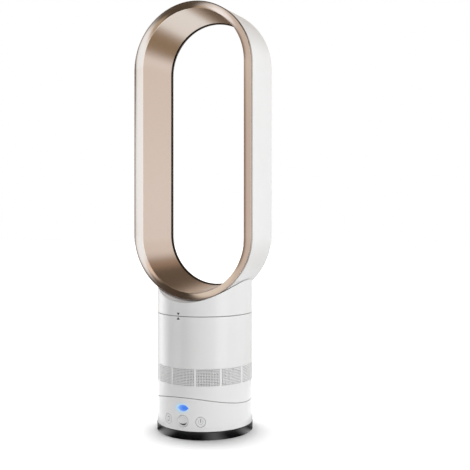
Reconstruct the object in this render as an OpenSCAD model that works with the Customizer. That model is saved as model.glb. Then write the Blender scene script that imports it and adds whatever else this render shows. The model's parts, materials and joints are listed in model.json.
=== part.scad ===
// Bladeless tower fan: an oval air loop on a tilting, turning round body
// Millimetres, +Z up, front is -Y, origin on the axis at the surface it stands on

/* [Body] */
// Diameter of the white body
body_d = 144; // [138:1:156]
// Wall of the moulded shells
wall = 2.5; // [1.8:0.1:3.2]
// Top edge of the body, where the loop twists off
body_top_z = 177.2; // [174:0.5:190]
// Bottom of the perforated band
grille_z = 77.3; // [74:0.5:90]
// Height of the perforated band
grille_h = 25.4; // [16:0.1:34]
// Height of the tilt seam at the front
seam_front_z = 60; // [58:0.5:66]
// Radius of the curved seam that the body tilts on
tilt_r = 213; // [190:1:250]
// Tilt each way, in degrees
tilt_range = 8; // [4:1:10]

/* [Foot] */
// How far the black foot ring stands out of the body
foot_proud = 0.5; // [0.2:0.1:1]
// Top of the black foot ring
foot_h = 12; // [11:0.1:13]
// Diameter of a rubber pad
pad_d = 16; // [10:1:20]
// Distance of the pads' middles in from the foot's edge
pad_inset = 18.5; // [17.5:0.5:28.5]
// Thickness of the steel base plate
plate_t = 2.5; // [2:0.1:3.2]

/* [Controls] */
// Height of the row of controls
control_z = 26.5; // [26:0.5:31]
// Angle between the controls, in degrees
control_angle = 21.5; // [19:0.5:26]
// Diameter of a push button
button_d = 14.4; // [12:0.1:16]
// Travel of a push button
button_travel = 0.8; // [0.4:0.1:1.4]
// Diameter of the speed dial
dial_d = 17; // [12:0.5:19]
// Height of the indicator window
lens_z = 45.5; // [43.5:0.5:46.5]
// Width of the indicator window
lens_w = 18; // [12:0.5:20]
// Height of the indicator opening
lens_h = 9.5; // [6:0.5:9.5]

/* [Loop] */
// Height of the whole fan
total_h = 640; // [500:1:760]
// Width of the loop
loop_w = 195; // [180:1:220]
// Lowest point of the loop's outline
loop_bottom_z = 198.2; // [190:0.2:210]
// Depth of the loop in front of the axis
loop_front = 46.5; // [40:0.5:56]
// Depth of the loop behind the axis
loop_rear = 39.7; // [34:0.1:50]
// Width of the gold front rim
rim_w = 15; // [13:0.5:16]
// How far the liner closes in from front to rear
liner_flare = 5.3; // [3.5:0.1:8]
// Radius of the rounded rear edge of the loop
rear_round = 12; // [5:0.5:15]
// Width of the air slot
slot_w = 1.1; // [0.6:0.1:2]

/* [Air drive] */
// Space between the body and the impeller housing
duct_space = 12; // [11:0.5:16]
// Width of the air passage round the motor bucket
passage_w = 17; // [13:0.5:21]
// How much the housing narrows towards its inlet
inlet_narrowing = 21; // [17:0.5:27]
// Bottom of the impeller
impeller_z = 108; // [102:0.5:111]
// Height of the impeller
impeller_h = 26; // [20:0.5:29]
// Blades of the impeller
blades = 9; // [7:1:11]
// Guide vanes above the impeller
vanes = 11; // [9:1:13]
// Diameter of the motor shaft
shaft_d = 6; // [5:0.5:7]

/* [Turning drive] */
// Turn each way, in degrees
swing_range = 45; // [30:1:60]
// Radius of the curved rack as a share of the body's
rack_share = 0.486; // [0.46:0.002:0.5]
// Teeth on the full circle of the curved rack
rack_teeth = 70; // [66:2:74]
// Teeth on the pinion
pinion_teeth = 14; // [14:2:16]
// Diameter of the spindle that the fan turns on
spindle_d = 16; // [12:0.5:18]

/* [Fits] */
// Gap between pieces that move past each other
run_gap = 0.3; // [0.2:0.05:0.4]
// Gap between fixed pieces
fit_gap = 0.1; // [0.05:0.05:0.2]
// Radial clearance of a shaft in its bearing
shaft_gap = 0.07; // [0.03:0.01:0.1]

/* [Hidden] */
$fn = 96;
// One overrun for every cut
over = 1;

// Body
body_r = body_d / 2;
inner_r = body_r - wall;
seat_r = inner_r - fit_gap;
tilt_z = seam_front_z + sqrt(tilt_r * tilt_r - body_r * body_r);
tilt_gap = 0.7;
slab_t = 3;
collar_cut_r = tilt_r - tilt_gap;
shoe_r = tilt_r - run_gap;
shoe_wall = 2.5;
shoe_rise = 10;
shoe_top_z = seam_front_z + shoe_rise;
grille_top_z = grille_z + grille_h;
seam_gap = 0.9;
neck_z = body_top_z + seam_gap;

// Foot
foot_r = body_r + foot_proud;
foot_wall = 3;
foot_inner_r = foot_r - foot_wall;
foot_lift = 0.3;
foot_round = 0.6;
plate_z = 1.2;
plate_top_z = plate_z + plate_t;
plate_r = foot_inner_r - fit_gap;
pad_sink = 0.8;
pad_at = foot_r - pad_inset;
pads = 4;
shelf_w = 8.5;
shelf_t = 1.5;
shelf_top_z = plate_top_z + shelf_t;

// Turntable
floor_lift = 0.8;
floor_z = foot_h + floor_lift;
floor_t = 2.5;
floor_top_z = floor_z + floor_t;
housing_lift = 0.5;
housing_z = foot_h + housing_lift;
ball_r = 2.4;
balls = 16;
ball_gap = 0.1;
race_w = 8;
race_r = foot_inner_r - run_gap;
ball_at = race_r - race_w / 2;
ball_z = floor_z - run_gap - ball_r;
race_top_z = ball_z - 0.2 * ball_r;
cage_t = 1.2;
cage_gap = 0.3;
spindle_r = spindle_d / 2;
spindle_flange_w = 8;
spindle_flange_r = spindle_r + spindle_flange_w;
spindle_flange_t = 2;
hub_wall = 5;
hub_r = spindle_r + hub_wall;
hub_h = 5;
hub_top_z = floor_z + hub_h;
washer_t = 1.2;
washer_step = 1;
washer_r = hub_r - washer_step;
screw_r = 1.5;
screw_head_r = 2.8;
screw_head_h = 1.8;
screw_gap = 0.1;
screw_edge = 1;
spindle_screws = 3;
spindle_screw_r = 2;
spindle_screw_l = 8;

// Gears
pressure_angle = 20;
rack_pitch_r = rack_share * body_r;
gear_module = 2 * rack_pitch_r / rack_teeth;
pinion_pitch_r = gear_module * pinion_teeth / 2;
pinion_at = rack_pitch_r + pinion_pitch_r;
rack_tip_share = 0.8;
pinion_tip_share = 0.95;
root_share = 1.25;
backlash = 0.2;
flank_steps = 4;
rack_t = 5;
rack_bore_r = rack_pitch_r - 11 * gear_module;
rack_spare = 9;
drive_shaft_r = 2;
drive_hole_r = 3.5;
motor_share = 0.405;
motor_r = motor_share * pinion_at;
motor_h = 12.5;
motor_ear_r = 3.5;
motor_ear_t = 1.5;
motor_ear_out = 4;
motor_ear_at = motor_r + motor_ear_out;
drive_depth = 7;

// Tilt rails
rail_x = 26;
rail_web = 3;
rail_foot = 6;
rail_half_angle = 4.5;
rail_slot_spare = 0.6;
rail_foot_t = 3;
ledge_w = 3;
ledge_t = 2.5;
cable_hole_r = 6;
grommet_wall = 1.5;

// Controls
board_t = 1.6;
control_depth = 9.5;
board_r = inner_r - control_depth;
board_face_r = board_r + board_t;
board_gap = 1.5;
board_end_y = board_r * cos(1.5 * control_angle);
board_top_z = tilt_z - sqrt(pow(tilt_r + slab_t, 2) - pow(board_end_y, 2)) - board_gap;
switch_h = 3.2;
switch_w = 6;
cap_flange_t = 1.6;
cap_flange_w = 1.8;
cap_back_r = board_face_r + switch_h + button_travel + fit_gap;
cap_gap = 0.3;
cap_dish = 0.5;
dial_dish = 1.2;
dial_dimple_r = 3.2;
dial_proud = 0.4;
dial_face_r = body_r + dial_proud;
encoder_w = 12;
encoder_h = 5;
dial_back_r = board_face_r + encoder_h + run_gap;
dial_shaft_r = 3;
led_r = 2.5;
lens_step = 2;
lens_back_r = inner_r - lens_step;
lens_fit = 0.15;
jack_z = 27.7;
jack_r = 6;
jack_flange_w = 2;
jack_flange_t = 2;
jack_l = 13;
jack_bore_r = 2.75;
jack_bore_l = 9;
jack_pin_r = 1;
power_board_at_share = 0.575;
power_board_l_share = 0.633;
power_board_w_share = 0.49;
power_board_x = power_board_at_share * inner_r;
power_board_l = power_board_l_share * inner_r;
power_board_w = power_board_w_share * inner_r;
post_h = 3.5;
post_r = 3;

// Grille
panels = 12;
rib_w = 3;
hole_pitch = 3.9;
hole_share = 0.58;
hole_rows = floor((grille_h - hole_pitch / 2) / hole_pitch);
panel_arc = 360 / panels - rib_w / body_r * 180 / PI;
hole_cols = floor(panel_arc / 180 * PI * body_r / hole_pitch);
hole_step = panel_arc / hole_cols;
hole_w = hole_share * hole_pitch;
row_pitch = grille_h / (hole_rows + 0.5);

// Air drive
duct_r = body_r - duct_space;
duct_wall = 2;
bucket_r = duct_r - passage_w;
inlet_r = duct_r - inlet_narrowing;
impeller_top_z = impeller_z + impeller_h;
tip_gap = 0.8;
impeller_nose_r = 14;
impeller_nose_h = 4;
impeller_boss_r = 8;
cone_wall = 2;
blade_t = 1.5;
blade_curve_r = duct_r * 2 / 3;
blade_curve_at = 0.62 * duct_r;
shaft_r = shaft_d / 2;
shaft_below = 4;
shaft_bottom_z = impeller_z - impeller_nose_h - shaft_below;
nut_r = 6;
nut_h = 3;
inlet_lip = 3;
bell_flare = 7;
bell_wall = 2;
shell_ledge_t = 3;
shell_ledge_gap = 1;
isolator_h = 5;
isolator_gap = 1.5;
ledge_z = impeller_top_z - shell_ledge_t - isolator_h;
housing_flange_t = 2.5;
duct_drop = 7.2;
duct_top_z = body_top_z - duct_drop;
bucket_lift = 2;
bucket_z = impeller_top_z + bucket_lift;
bucket_wall = 2;
bucket_lower_h = 12;
bucket_split_z = bucket_z + bucket_lower_h;
bucket_drop = 2;
bucket_top_z = duct_top_z - bucket_drop;
shaft_hole_gap = 1;
bearing_r = 8;
bearing_h = 6;
bearing_lip = 1.5;
bearing_groove = 0.25;
seat_wall = 2.5;
stator_share = 0.63;
stator_bore_share = 0.6;
stator_r = stator_share * bucket_r;
stator_bore_r = stator_bore_share * stator_r;
stator_h = 12;
stator_lift = 0.5;
stator_z = bucket_z + bucket_wall + bearing_h + stator_lift;
stator_slots = 12;
stator_slot_w = 3.4;
stator_ring = 4;
stator_shoe = 1.5;
rotor_gap = 0.7;
driver_board_drop = 4.5;
driver_board_z = bucket_top_z - bucket_wall - driver_board_drop;
driver_board_gap = 2;
vane_sleeve = 1.4;
vane_lift = 4;
vane_z = bucket_z + vane_lift;
vane_h = 20;
vane_t = 1.6;
vane_curve_r = duct_r * 0.58;
vane_curve_at = duct_r * 2 / 3;
seal_h = 2.5;
foam_t = 8;

// Twist lock
skirt_in = 3.5;
skirt_r = inner_r - skirt_in;
skirt_wall = 2.5;
skirt_h = 13;
skirt_z = body_top_z - skirt_h;
tab_h = 3;
tab_out = 2.2;
tab_arc = 20;
tabs = 3;
twist_range = 25;
tab_spare = 4;
lock_gap = 0.4;
tab_lift = 1;
lock_z = skirt_z + tab_lift;
lock_flange_t = 3.4;

// Loop
loop_r = loop_w / 2;
top_c_z = total_h - loop_r;
low_c_z = loop_bottom_z + loop_r;
arc_shift = 3.5;
liner_top_c_z = top_c_z + arc_shift;
liner_low_c_z = low_c_z - arc_shift;
shell_wall = 2.2;
bead_w = 1.1;
bead_t = 3.6;
bead_step = 0.3;
bead_front = loop_front - bead_step;
shell_front = bead_front - bead_t;
rim_r = loop_r - bead_w;
rim_in_r = loop_r - rim_w;
rim_crown_r = 22;
rim_crown_in = 3.5;
liner_wall = 2;
liner_rear_r = rim_in_r - liner_flare;
nose_gap = 2;
nose_y = loop_rear - shell_wall - nose_gap;
nose_r = 2.2;
lip_t = 1.2;
lip_h = 4.2;
lip_front_y = loop_rear - lip_h;
lip_r = liner_rear_r - slot_w - lip_t;
lip_wall_r = liner_rear_r + liner_wall;
spacer_w = 3;
spacer_depth = 3;
spacer_rows = 4;
arc_spacers = 4;
neck_fit = 0.3;
neck_roof = 2.2;
window_x = 0.7 * body_r;
window_h = loop_r - sqrt(pow(loop_r - shell_wall, 2) - pow(window_x, 2));
window_strip = 4.6;
window_front = shell_front - window_strip;
window_rear = loop_rear - rear_round;

// Shared shapes

module tube(outer_r, bore_r, h) {
    difference() {
        cylinder(r = outer_r, h = h);
        translate([0, 0, -over]) cylinder(r = bore_r, h = h + 2 * over);
    }
}

// Places children count times round the axis
module around(count, start = 0) {
    for (i = [0 : count - 1]) rotate([0, 0, start + i * 360 / count]) children();
}

// Children drawn along +Z point outwards from the axis at this angle from the front
module facing(angle, z) {
    translate([0, 0, z]) rotate([0, 0, angle]) rotate([90, 0, 0]) children();
}

// Solid cylinder about the tilt axis
module tilt_cylinder(r) {
    translate([0, 0, tilt_z]) rotate([0, 90, 0])
        cylinder(r = r, h = 2 * body_d, center = true, $fn = 240);
}

// Curved plate under the tilt axis, cut round
module tilt_slab(r_in, r_out, round_r) {
    intersection() {
        difference() {
            tilt_cylinder(r_out);
            tilt_cylinder(r_in);
        }
        cylinder(r = round_r, h = tilt_z);
    }
}

// Bar that follows the tilt curve, from x0 to x1, this many degrees each way
module tilt_bar(r_in, r_out, x0, x1, half_angle) {
    translate([0, 0, tilt_z])
        rotate([0, 90, 0])
            rotate_extrude(angle = 2 * half_angle, start = -half_angle, $fn = 240)
                translate([r_in, x0]) square([r_out - r_in, x1 - x0]);
}

// Children as drawn, and mirrored to the left
module both_sides() {
    children();
    mirror([1, 0, 0]) children();
}

module screw(l) {
    cylinder(r = screw_head_r, h = screw_head_h, $fn = 24);
    translate([0, 0, -l]) cylinder(r = screw_r, h = l + over / 2, $fn = 24);
}

module screw_hole(l) {
    translate([0, 0, -l]) cylinder(r = screw_r + screw_gap, h = l + over, $fn = 24);
}

// Involute gear outline, drawn from the tooth count, with one tooth on +X
function involute(angle) = tan(angle) * 180 / PI - angle;
function flank_angle(teeth, r) =
    let (pitch_r = gear_module * teeth / 2, base_r = pitch_r * cos(pressure_angle))
    90 / teeth - backlash / 4 / pitch_r * 180 / PI + involute(pressure_angle)
        - involute(acos(min(1, base_r / r)));
function tooth_points(teeth, tip_share, turn) =
    let (
        pitch_r = gear_module * teeth / 2,
        tip_r = pitch_r + tip_share * gear_module,
        root_r = pitch_r - root_share * gear_module,
        base_r = max(root_r, pitch_r * cos(pressure_angle)),
        radii = [for (i = [0 : flank_steps]) base_r + (tip_r - base_r) * i / flank_steps],
        foot = flank_angle(teeth, base_r)
    )
    concat(
        [root_r * [cos(turn - foot), sin(turn - foot)]],
        [for (r = radii) r * [cos(turn - flank_angle(teeth, r)), sin(turn - flank_angle(teeth, r))]],
        [for (i = [flank_steps : -1 : 0])
            radii[i] * [cos(turn + flank_angle(teeth, radii[i])), sin(turn + flank_angle(teeth, radii[i]))]],
        [root_r * [cos(turn + foot), sin(turn + foot)]]
    );

// Foot

module foot_ring() {
    color("#141414")
    rotate_extrude() {
        difference() {
            translate([foot_inner_r, foot_lift]) square([foot_wall, foot_h - foot_lift]);
            translate([foot_r, foot_lift]) rotate(45) square(foot_round * sqrt(2), center = true);
        }
        translate([foot_inner_r - shelf_w, plate_top_z]) square([shelf_w + over, shelf_t]);
    }
}

module rack_screw_places() {
    for (side = [-1, 1]) rotate([0, 0, side * swing_range * 0.75])
        translate([rack_bore_r + 4.5 * gear_module, 0, 0]) children();
}

module spindle_screw_places() {
    around(spindle_screws, 180 / spindle_screws)
        translate([spindle_flange_r - screw_head_r - screw_edge, 0, 0]) children();
}

module base_plate() {
    color("#8f9296")
    difference() {
        translate([0, 0, plate_z]) cylinder(r = plate_r, h = plate_t);
        around(pads, 45) translate([pad_at, 0, -over])
            cylinder(r = pad_d / 2 + fit_gap, h = plate_z + pad_sink + over);
        translate([0, 0, plate_top_z]) {
            spindle_screw_places() screw_hole(plate_t + over);
            rack_screw_places() screw_hole(plate_t + over);
        }
    }
}

module foot_pads() {
    color("#2b2b2b")
    around(pads, 45) translate([pad_at, 0, 0]) cylinder(r = pad_d / 2, h = plate_z + pad_sink);
}

module spindle() {
    color("#c9ccd0")
    difference() {
        union() {
            translate([0, 0, plate_top_z]) cylinder(r = spindle_flange_r, h = spindle_flange_t);
            translate([0, 0, plate_top_z]) cylinder(r = spindle_r, h = hub_top_z + run_gap - plate_top_z);
        }
        translate([0, 0, plate_top_z + spindle_flange_t])
            spindle_screw_places() screw_hole(plate_t + spindle_flange_t);
        translate([0, 0, hub_top_z + run_gap - spindle_screw_l])
            cylinder(r = spindle_screw_r + screw_gap, h = spindle_screw_l + over);
    }
}

module spindle_washer() {
    color("#b8bbbf")
    translate([0, 0, hub_top_z + run_gap]) tube(washer_r, spindle_screw_r + screw_gap, washer_t);
}

module spindle_screw() {
    color("#55585c")
    translate([0, 0, hub_top_z + run_gap]) {
        translate([0, 0, washer_t]) cylinder(r = 2 * spindle_screw_r, h = spindle_screw_r, $fn = 6);
        translate([0, 0, -spindle_screw_l + fit_gap])
            cylinder(r = spindle_screw_r, h = spindle_screw_l + washer_t);
    }
}

module curved_rack() {
    rack_span = ceil((swing_range + rack_spare) * rack_teeth / 360);
    color("#e8e4d8")
    difference() {
        translate([0, 0, plate_top_z]) linear_extrude(rack_t) difference() {
            polygon(concat([[0, 0]], [for (i = [-rack_span : rack_span])
                each tooth_points(rack_teeth, rack_tip_share, i * 360 / rack_teeth)]));
            circle(r = rack_bore_r);
        }
        translate([0, 0, plate_top_z + rack_t]) rack_screw_places() screw_hole(rack_t + over);
    }
}

module turntable_race() {
    color("#9da1a6")
    rotate_extrude()
    difference() {
        translate([race_r - race_w, shelf_top_z]) square([race_w, race_top_z - shelf_top_z]);
        translate([ball_at, ball_z]) circle(r = ball_r + ball_gap, $fn = 48);
    }
}

module ball_cage() {
    color("#d8c79a")
    difference() {
        translate([0, 0, race_top_z + cage_gap]) tube(race_r - run_gap, race_r - race_w + run_gap, cage_t);
        around(balls) translate([ball_at, 0, shelf_top_z])
            cylinder(r = ball_r + ball_gap, h = foot_h, $fn = 32);
    }
}

module turntable_balls() {
    color("#d9dde2")
    around(balls) translate([ball_at, 0, ball_z]) sphere(r = ball_r, $fn = 32);
}

module foot_screws() {
    color("#55585c") {
        translate([0, 0, plate_top_z + spindle_flange_t])
            spindle_screw_places() screw(plate_t + spindle_flange_t - fit_gap);
        translate([0, 0, plate_top_z + rack_t])
            rack_screw_places() screw(plate_t + rack_t - fit_gap);
    }
}

// Turning base

module control_holes() {
    for (side = [-1, 1]) facing(side * control_angle, control_z)
        cylinder(r = button_d / 2 + cap_gap, h = body_d);
    facing(0, control_z) cylinder(r = dial_d / 2 + cap_gap, h = body_d);
    facing(0, lens_z) lens_outline(0, body_d);
    facing(180, jack_z) cylinder(r = jack_r + fit_gap, h = body_d);
}

// Eye shape between two arcs, lens_w wide, made smaller by shrink all round
module lens_outline(shrink, h) {
    arc_r = (lens_w * lens_w + lens_h * lens_h) / 4 / lens_h;
    intersection_for (side = [-1, 1]) translate([0, side * (arc_r - lens_h / 2), 0])
        cylinder(r = arc_r - shrink, h = h);
}

module control_housing() {
    color("#f1f1f1") {
        difference() {
            translate([0, 0, housing_z]) tube(body_r, inner_r, tilt_z - housing_z);
            tilt_cylinder(tilt_r);
            control_holes();
        }
        difference() {
            tilt_slab(tilt_r + slab_t, tilt_r + slab_t + ledge_t, inner_r + fit_gap);
            cylinder(r = inner_r - ledge_w, h = tilt_z);
            control_holes();
        }
    }
}

module power_posts() {
    for (dx = [-1, 1]) for (dy = [-1, 1])
        translate([dx * (power_board_w / 2 - post_r) - power_board_x, dy * (power_board_l / 2 - post_r), 0])
            translate([0, 0, floor_top_z]) children();
}

module motor_ears() {
    for (side = [-1, 1]) translate([pinion_at, side * motor_ear_at, floor_top_z]) children();
}

module base_floor() {
    color("#dcdcdc")
    difference() {
        union() {
            translate([0, 0, floor_z]) cylinder(r = seat_r, h = floor_t);
            translate([0, 0, floor_z]) cylinder(r = hub_r, h = hub_h);
            power_posts() cylinder(r = post_r, h = post_h, $fn = 32);
        }
        translate([0, 0, floor_z - over]) cylinder(r = spindle_r + shaft_gap, h = hub_h + 2 * over);
        translate([pinion_at, 0, floor_z - over]) cylinder(r = drive_hole_r, h = floor_t + 2 * over);
        motor_ears() screw_hole(floor_t + over);
        translate([0, 0, post_h]) power_posts() screw_hole(post_h);
    }
}

module tilt_saddle() {
    slot_angle = rail_half_angle + tilt_range + rail_slot_spare;
    cable_angle = tilt_range + (cable_hole_r + grommet_wall) / tilt_r * 180 / PI;
    color("#e6e6e6")
    difference() {
        tilt_slab(tilt_r, tilt_r + slab_t, seat_r);
        both_sides() tilt_bar(tilt_r - over, tilt_r + slab_t + over,
            rail_x - run_gap, rail_x + rail_web + run_gap, slot_angle);
        tilt_bar(tilt_r - over, tilt_r + slab_t + over, -cable_hole_r, cable_hole_r, cable_angle);
    }
}

// Three flat boards side by side, one behind each control
module control_board() {
    half_w = board_r * tan(control_angle / 2) - fit_gap;
    color("#2f6b3c")
    for (i = [-1 : 1]) facing(i * control_angle, 0)
        translate([-half_w, floor_top_z + fit_gap, board_r])
            cube([2 * half_w, board_top_z - floor_top_z - fit_gap, board_t]);
}

module tact_switches() {
    color("#1d1d1f")
    for (side = [-1, 1]) facing(side * control_angle, control_z) translate([0, 0, board_face_r]) {
        translate([-switch_w / 2, -switch_w / 2, 0]) cube([switch_w, switch_w, switch_h / 2]);
        cylinder(r = switch_w / 4, h = switch_h, $fn = 24);
    }
}

module speed_encoder() {
    color("#3a3d42")
    facing(0, control_z) difference() {
        translate([-encoder_w / 2, -encoder_w / 2, board_face_r]) cube([encoder_w, encoder_w, encoder_h]);
        translate([0, 0, board_face_r + board_t / 2]) cylinder(r = dial_shaft_r + shaft_gap, h = encoder_h);
    }
}

module indicator_led() {
    color("#bcd4ff")
    facing(0, lens_z) translate([0, 0, board_face_r])
        cylinder(r = led_r - fit_gap, h = lens_back_r - board_face_r - run_gap, $fn = 32);
}

module indicator_lens() {
    color("#3f6fe8")
    intersection() {
        facing(0, lens_z) translate([0, 0, lens_back_r]) lens_outline(lens_fit, body_r);
        cylinder(r = body_r + lens_fit, h = tilt_z);
    }
}

module power_inlet() {
    flange_back_r = sqrt(pow(inner_r, 2) - pow(jack_r + jack_flange_w, 2)) - jack_flange_t - fit_gap;
    color("#1a1a1a")
    facing(180, jack_z) {
        difference() {
            union() {
                translate([0, 0, body_r - jack_l]) cylinder(r = jack_r, h = jack_l - run_gap);
                translate([0, 0, flange_back_r])
                    cylinder(r = jack_r + jack_flange_w, h = jack_flange_t, $fn = 6);
            }
            translate([0, 0, body_r - jack_bore_l]) cylinder(r = jack_bore_r, h = jack_bore_l + over);
        }
        translate([0, 0, body_r - jack_bore_l - over]) cylinder(r = jack_pin_r, h = jack_bore_l, $fn = 24);
    }
}

module power_board() {
    board_z = floor_top_z + post_h;
    choke_w = power_board_w / 2.5;
    can_r = power_board_w / 7;
    color("#2f6b3c")
    difference() {
        translate([-power_board_x - power_board_w / 2, -power_board_l / 2, board_z])
            cube([power_board_w, power_board_l, board_t]);
        translate([0, 0, post_h + board_t]) power_posts() screw_hole(board_t + over);
    }
    color("#3c3f44") {
        translate([-power_board_x - choke_w / 2, power_board_l / 8, board_z + board_t])
            cube([choke_w, choke_w, 0.8 * choke_w]);
        for (side = [-1, 1])
            translate([-power_board_x + side * 1.2 * can_r, -power_board_l / 5, board_z + board_t])
                cylinder(r = can_r, h = 2.4 * can_r, $fn = 32);
    }
}

module turning_motor() {
    color("#b9bcc0")
    difference() {
        union() {
            translate([pinion_at, 0, floor_top_z]) cylinder(r = motor_r, h = motor_h);
            motor_ears() cylinder(r = motor_ear_r, h = motor_ear_t, $fn = 32);
            translate([pinion_at - motor_ear_r, -motor_ear_at, floor_top_z])
                cube([2 * motor_ear_r, 2 * motor_ear_at, motor_ear_t]);
        }
        translate([pinion_at, 0, floor_top_z - over])
            cylinder(r = drive_shaft_r + shaft_gap, h = drive_depth + over);
        translate([0, 0, motor_ear_t]) motor_ears() screw_hole(motor_ear_t + over);
    }
}

module base_screws() {
    color("#55585c") {
        translate([0, 0, motor_ear_t]) motor_ears() screw(motor_ear_t + floor_t - fit_gap);
        translate([0, 0, post_h + board_t]) power_posts() screw(board_t + post_h - fit_gap);
    }
}

// Turning drive

module pinion() {
    pinion_z = plate_top_z + run_gap;
    middle_z = pinion_z + rack_t / 2;
    color("#f0ead6")
    translate([pinion_at, 0, 0]) {
        translate([0, 0, pinion_z]) rotate([0, 0, 180 / pinion_teeth]) linear_extrude(rack_t)
            polygon([for (i = [0 : pinion_teeth - 1])
                each tooth_points(pinion_teeth, pinion_tip_share, i * 360 / pinion_teeth)]);
        translate([0, 0, middle_z])
            cylinder(r = drive_shaft_r, h = floor_top_z + drive_depth - fit_gap - middle_z);
        translate([0, 0, middle_z])
            cylinder(r = drive_hole_r - run_gap, h = floor_top_z - run_gap - middle_z, $fn = 48);
    }
}

// Controls

module push_button(angle) {
    flange_r = button_d / 2 + cap_flange_w;
    flange_top = sqrt(pow(inner_r, 2) - pow(flange_r, 2)) - fit_gap;
    intersection() {
        facing(angle, control_z) difference() {
            union() {
                translate([0, 0, flange_top - cap_flange_t]) cylinder(r = flange_r, h = cap_flange_t);
                translate([0, 0, flange_top - cap_flange_t]) cylinder(r = button_d / 2, h = body_r);
                translate([0, 0, cap_back_r])
                    cylinder(r = switch_w / 3, h = body_r - cap_back_r - wall, $fn = 32);
            }
            translate([0, 0, body_r + 2 * button_d - cap_dish]) sphere(r = 2 * button_d, $fn = 96);
        }
        cylinder(r = body_r + fit_gap, h = tilt_z);
    }
}

module swing_button() {
    color("#ececec") push_button(-control_angle);
}

module power_button() {
    color("#ececec") push_button(control_angle);
}

module speed_dial() {
    dish_r = (pow(dial_d / 2, 2) + pow(dial_dish, 2)) / 2 / dial_dish;
    color("#f4f4f4")
    facing(0, control_z) {
        difference() {
            translate([0, 0, dial_back_r]) cylinder(r = dial_d / 2, h = dial_face_r - dial_back_r);
            translate([0, 0, dial_face_r - dial_dish + dish_r + dial_dish / 4]) sphere(r = dish_r);
            translate([dial_d / 10, -dial_d / 4, dial_face_r + dial_dimple_r / 4])
                sphere(r = dial_dimple_r, $fn = 48);
        }
        translate([0, 0, board_face_r + board_t])
            cylinder(r = dial_shaft_r, h = dial_back_r - board_face_r);
    }
}

// Tilting body

module body_collar() {
    color("#f1f1f1")
    difference() {
        tube(body_r, inner_r, grille_z);
        translate([0, 0, -over]) cylinder(r = body_d, h = tilt_z - collar_cut_r + over);
        difference() {
            translate([0, 0, -over]) cylinder(r = body_d, h = grille_z + over - wall);
            tilt_cylinder(collar_cut_r);
        }
    }
}

module tilt_shoe() {
    color("#d9d9d9") {
        difference() {
            union() {
                tilt_slab(shoe_r - slab_t, shoe_r, seat_r - ledge_w);
                tilt_slab(shoe_r - slab_t, collar_cut_r, seat_r);
                difference() {
                    translate([0, 0, tilt_z - shoe_r])
                        tube(seat_r, seat_r - shoe_wall, shoe_top_z - tilt_z + shoe_r);
                    difference() {
                        cylinder(r = body_r, h = shoe_top_z);
                        tilt_cylinder(collar_cut_r);
                    }
                }
            }
            cylinder(r = cable_hole_r, h = tilt_z);
        }
        both_sides() {
            tilt_bar(shoe_r - slab_t / 2, tilt_r + slab_t + run_gap + rail_foot_t,
                rail_x, rail_x + rail_web, rail_half_angle);
            tilt_bar(tilt_r + slab_t + run_gap, tilt_r + slab_t + run_gap + rail_foot_t,
                rail_x + rail_web / 2, rail_x + rail_web + rail_foot, rail_half_angle);
        }
    }
}

module cable_grommet() {
    grommet_z = tilt_z - shoe_r + slab_t + fit_gap;
    color("#2b2b2b") {
        translate([0, 0, grommet_z])
            tube(cable_hole_r + grommet_wall, cable_hole_r - grommet_wall, grommet_wall);
        translate([0, 0, grommet_z - slab_t])
            tube(cable_hole_r - fit_gap, cable_hole_r - grommet_wall, slab_t + grommet_wall / 2);
    }
}

// Upright slots outside and level slots inside cross as square holes
module intake_grille() {
    mid_r = body_r - wall / 2;
    color("#e9e9e9")
    difference() {
        translate([0, 0, grille_z]) tube(body_r, inner_r, grille_h);
        around(panels, -panel_arc / 2) for (i = [0 : hole_cols - 1]) rotate([0, 0, (i + 0.5) * hole_step])
            translate([mid_r, -hole_w / 2, grille_z + row_pitch / 2])
                cube([wall, hole_w, grille_h - row_pitch]);
        around(panels) for (i = [0 : hole_rows - 1])
            translate([0, 0, grille_z + (i + 0.75) * row_pitch - hole_w / 2])
                rotate_extrude(angle = panel_arc, start = -panel_arc / 2)
                    translate([inner_r - over, 0]) square([mid_r - inner_r + over + fit_gap, hole_w]);
    }
}

module body_shell() {
    color("#f1f1f1") {
        translate([0, 0, grille_top_z]) tube(body_r, inner_r, body_top_z - grille_top_z);
        translate([0, 0, ledge_z])
            tube(inner_r + wall / 2, duct_r + duct_wall + shell_ledge_gap, shell_ledge_t);
    }
}

module intake_foam() {
    foam_r = shoe_r - slab_t - run_gap;
    color("#4a4a4d")
    difference() {
        tilt_slab(foam_r - foam_t, foam_r, seat_r - shoe_wall - run_gap);
        cylinder(r = cable_hole_r + grommet_wall + run_gap, h = tilt_z);
    }
}

module isolator_ring() {
    color("#333333")
    translate([0, 0, ledge_z + shell_ledge_t]) tube(seat_r, duct_r + duct_wall + isolator_gap, isolator_h);
}

module impeller_housing() {
    color("#bfc3c7")
    rotate_extrude() {
        polygon([
            [inlet_r, impeller_z], [inlet_r + inlet_lip, impeller_z], [duct_r + duct_wall, impeller_top_z],
            [duct_r + duct_wall, duct_top_z], [duct_r, duct_top_z], [duct_r, impeller_top_z]
        ]);
        translate([duct_r + duct_wall / 2, impeller_top_z])
            square([seat_r - duct_r - duct_wall / 2, housing_flange_t]);
    }
}

// Quarter-round flare below the housing's inlet
module inlet_bellmouth() {
    color("#aeb2b6")
    translate([0, 0, impeller_z - fit_gap]) rotate_extrude() {
        translate([inlet_r + bell_flare, 0]) intersection() {
            difference() {
                circle(r = bell_flare, $fn = 64);
                circle(r = bell_flare - bell_wall, $fn = 64);
            }
            translate([-bell_flare, -bell_flare]) square(bell_flare);
        }
    }
}

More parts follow.
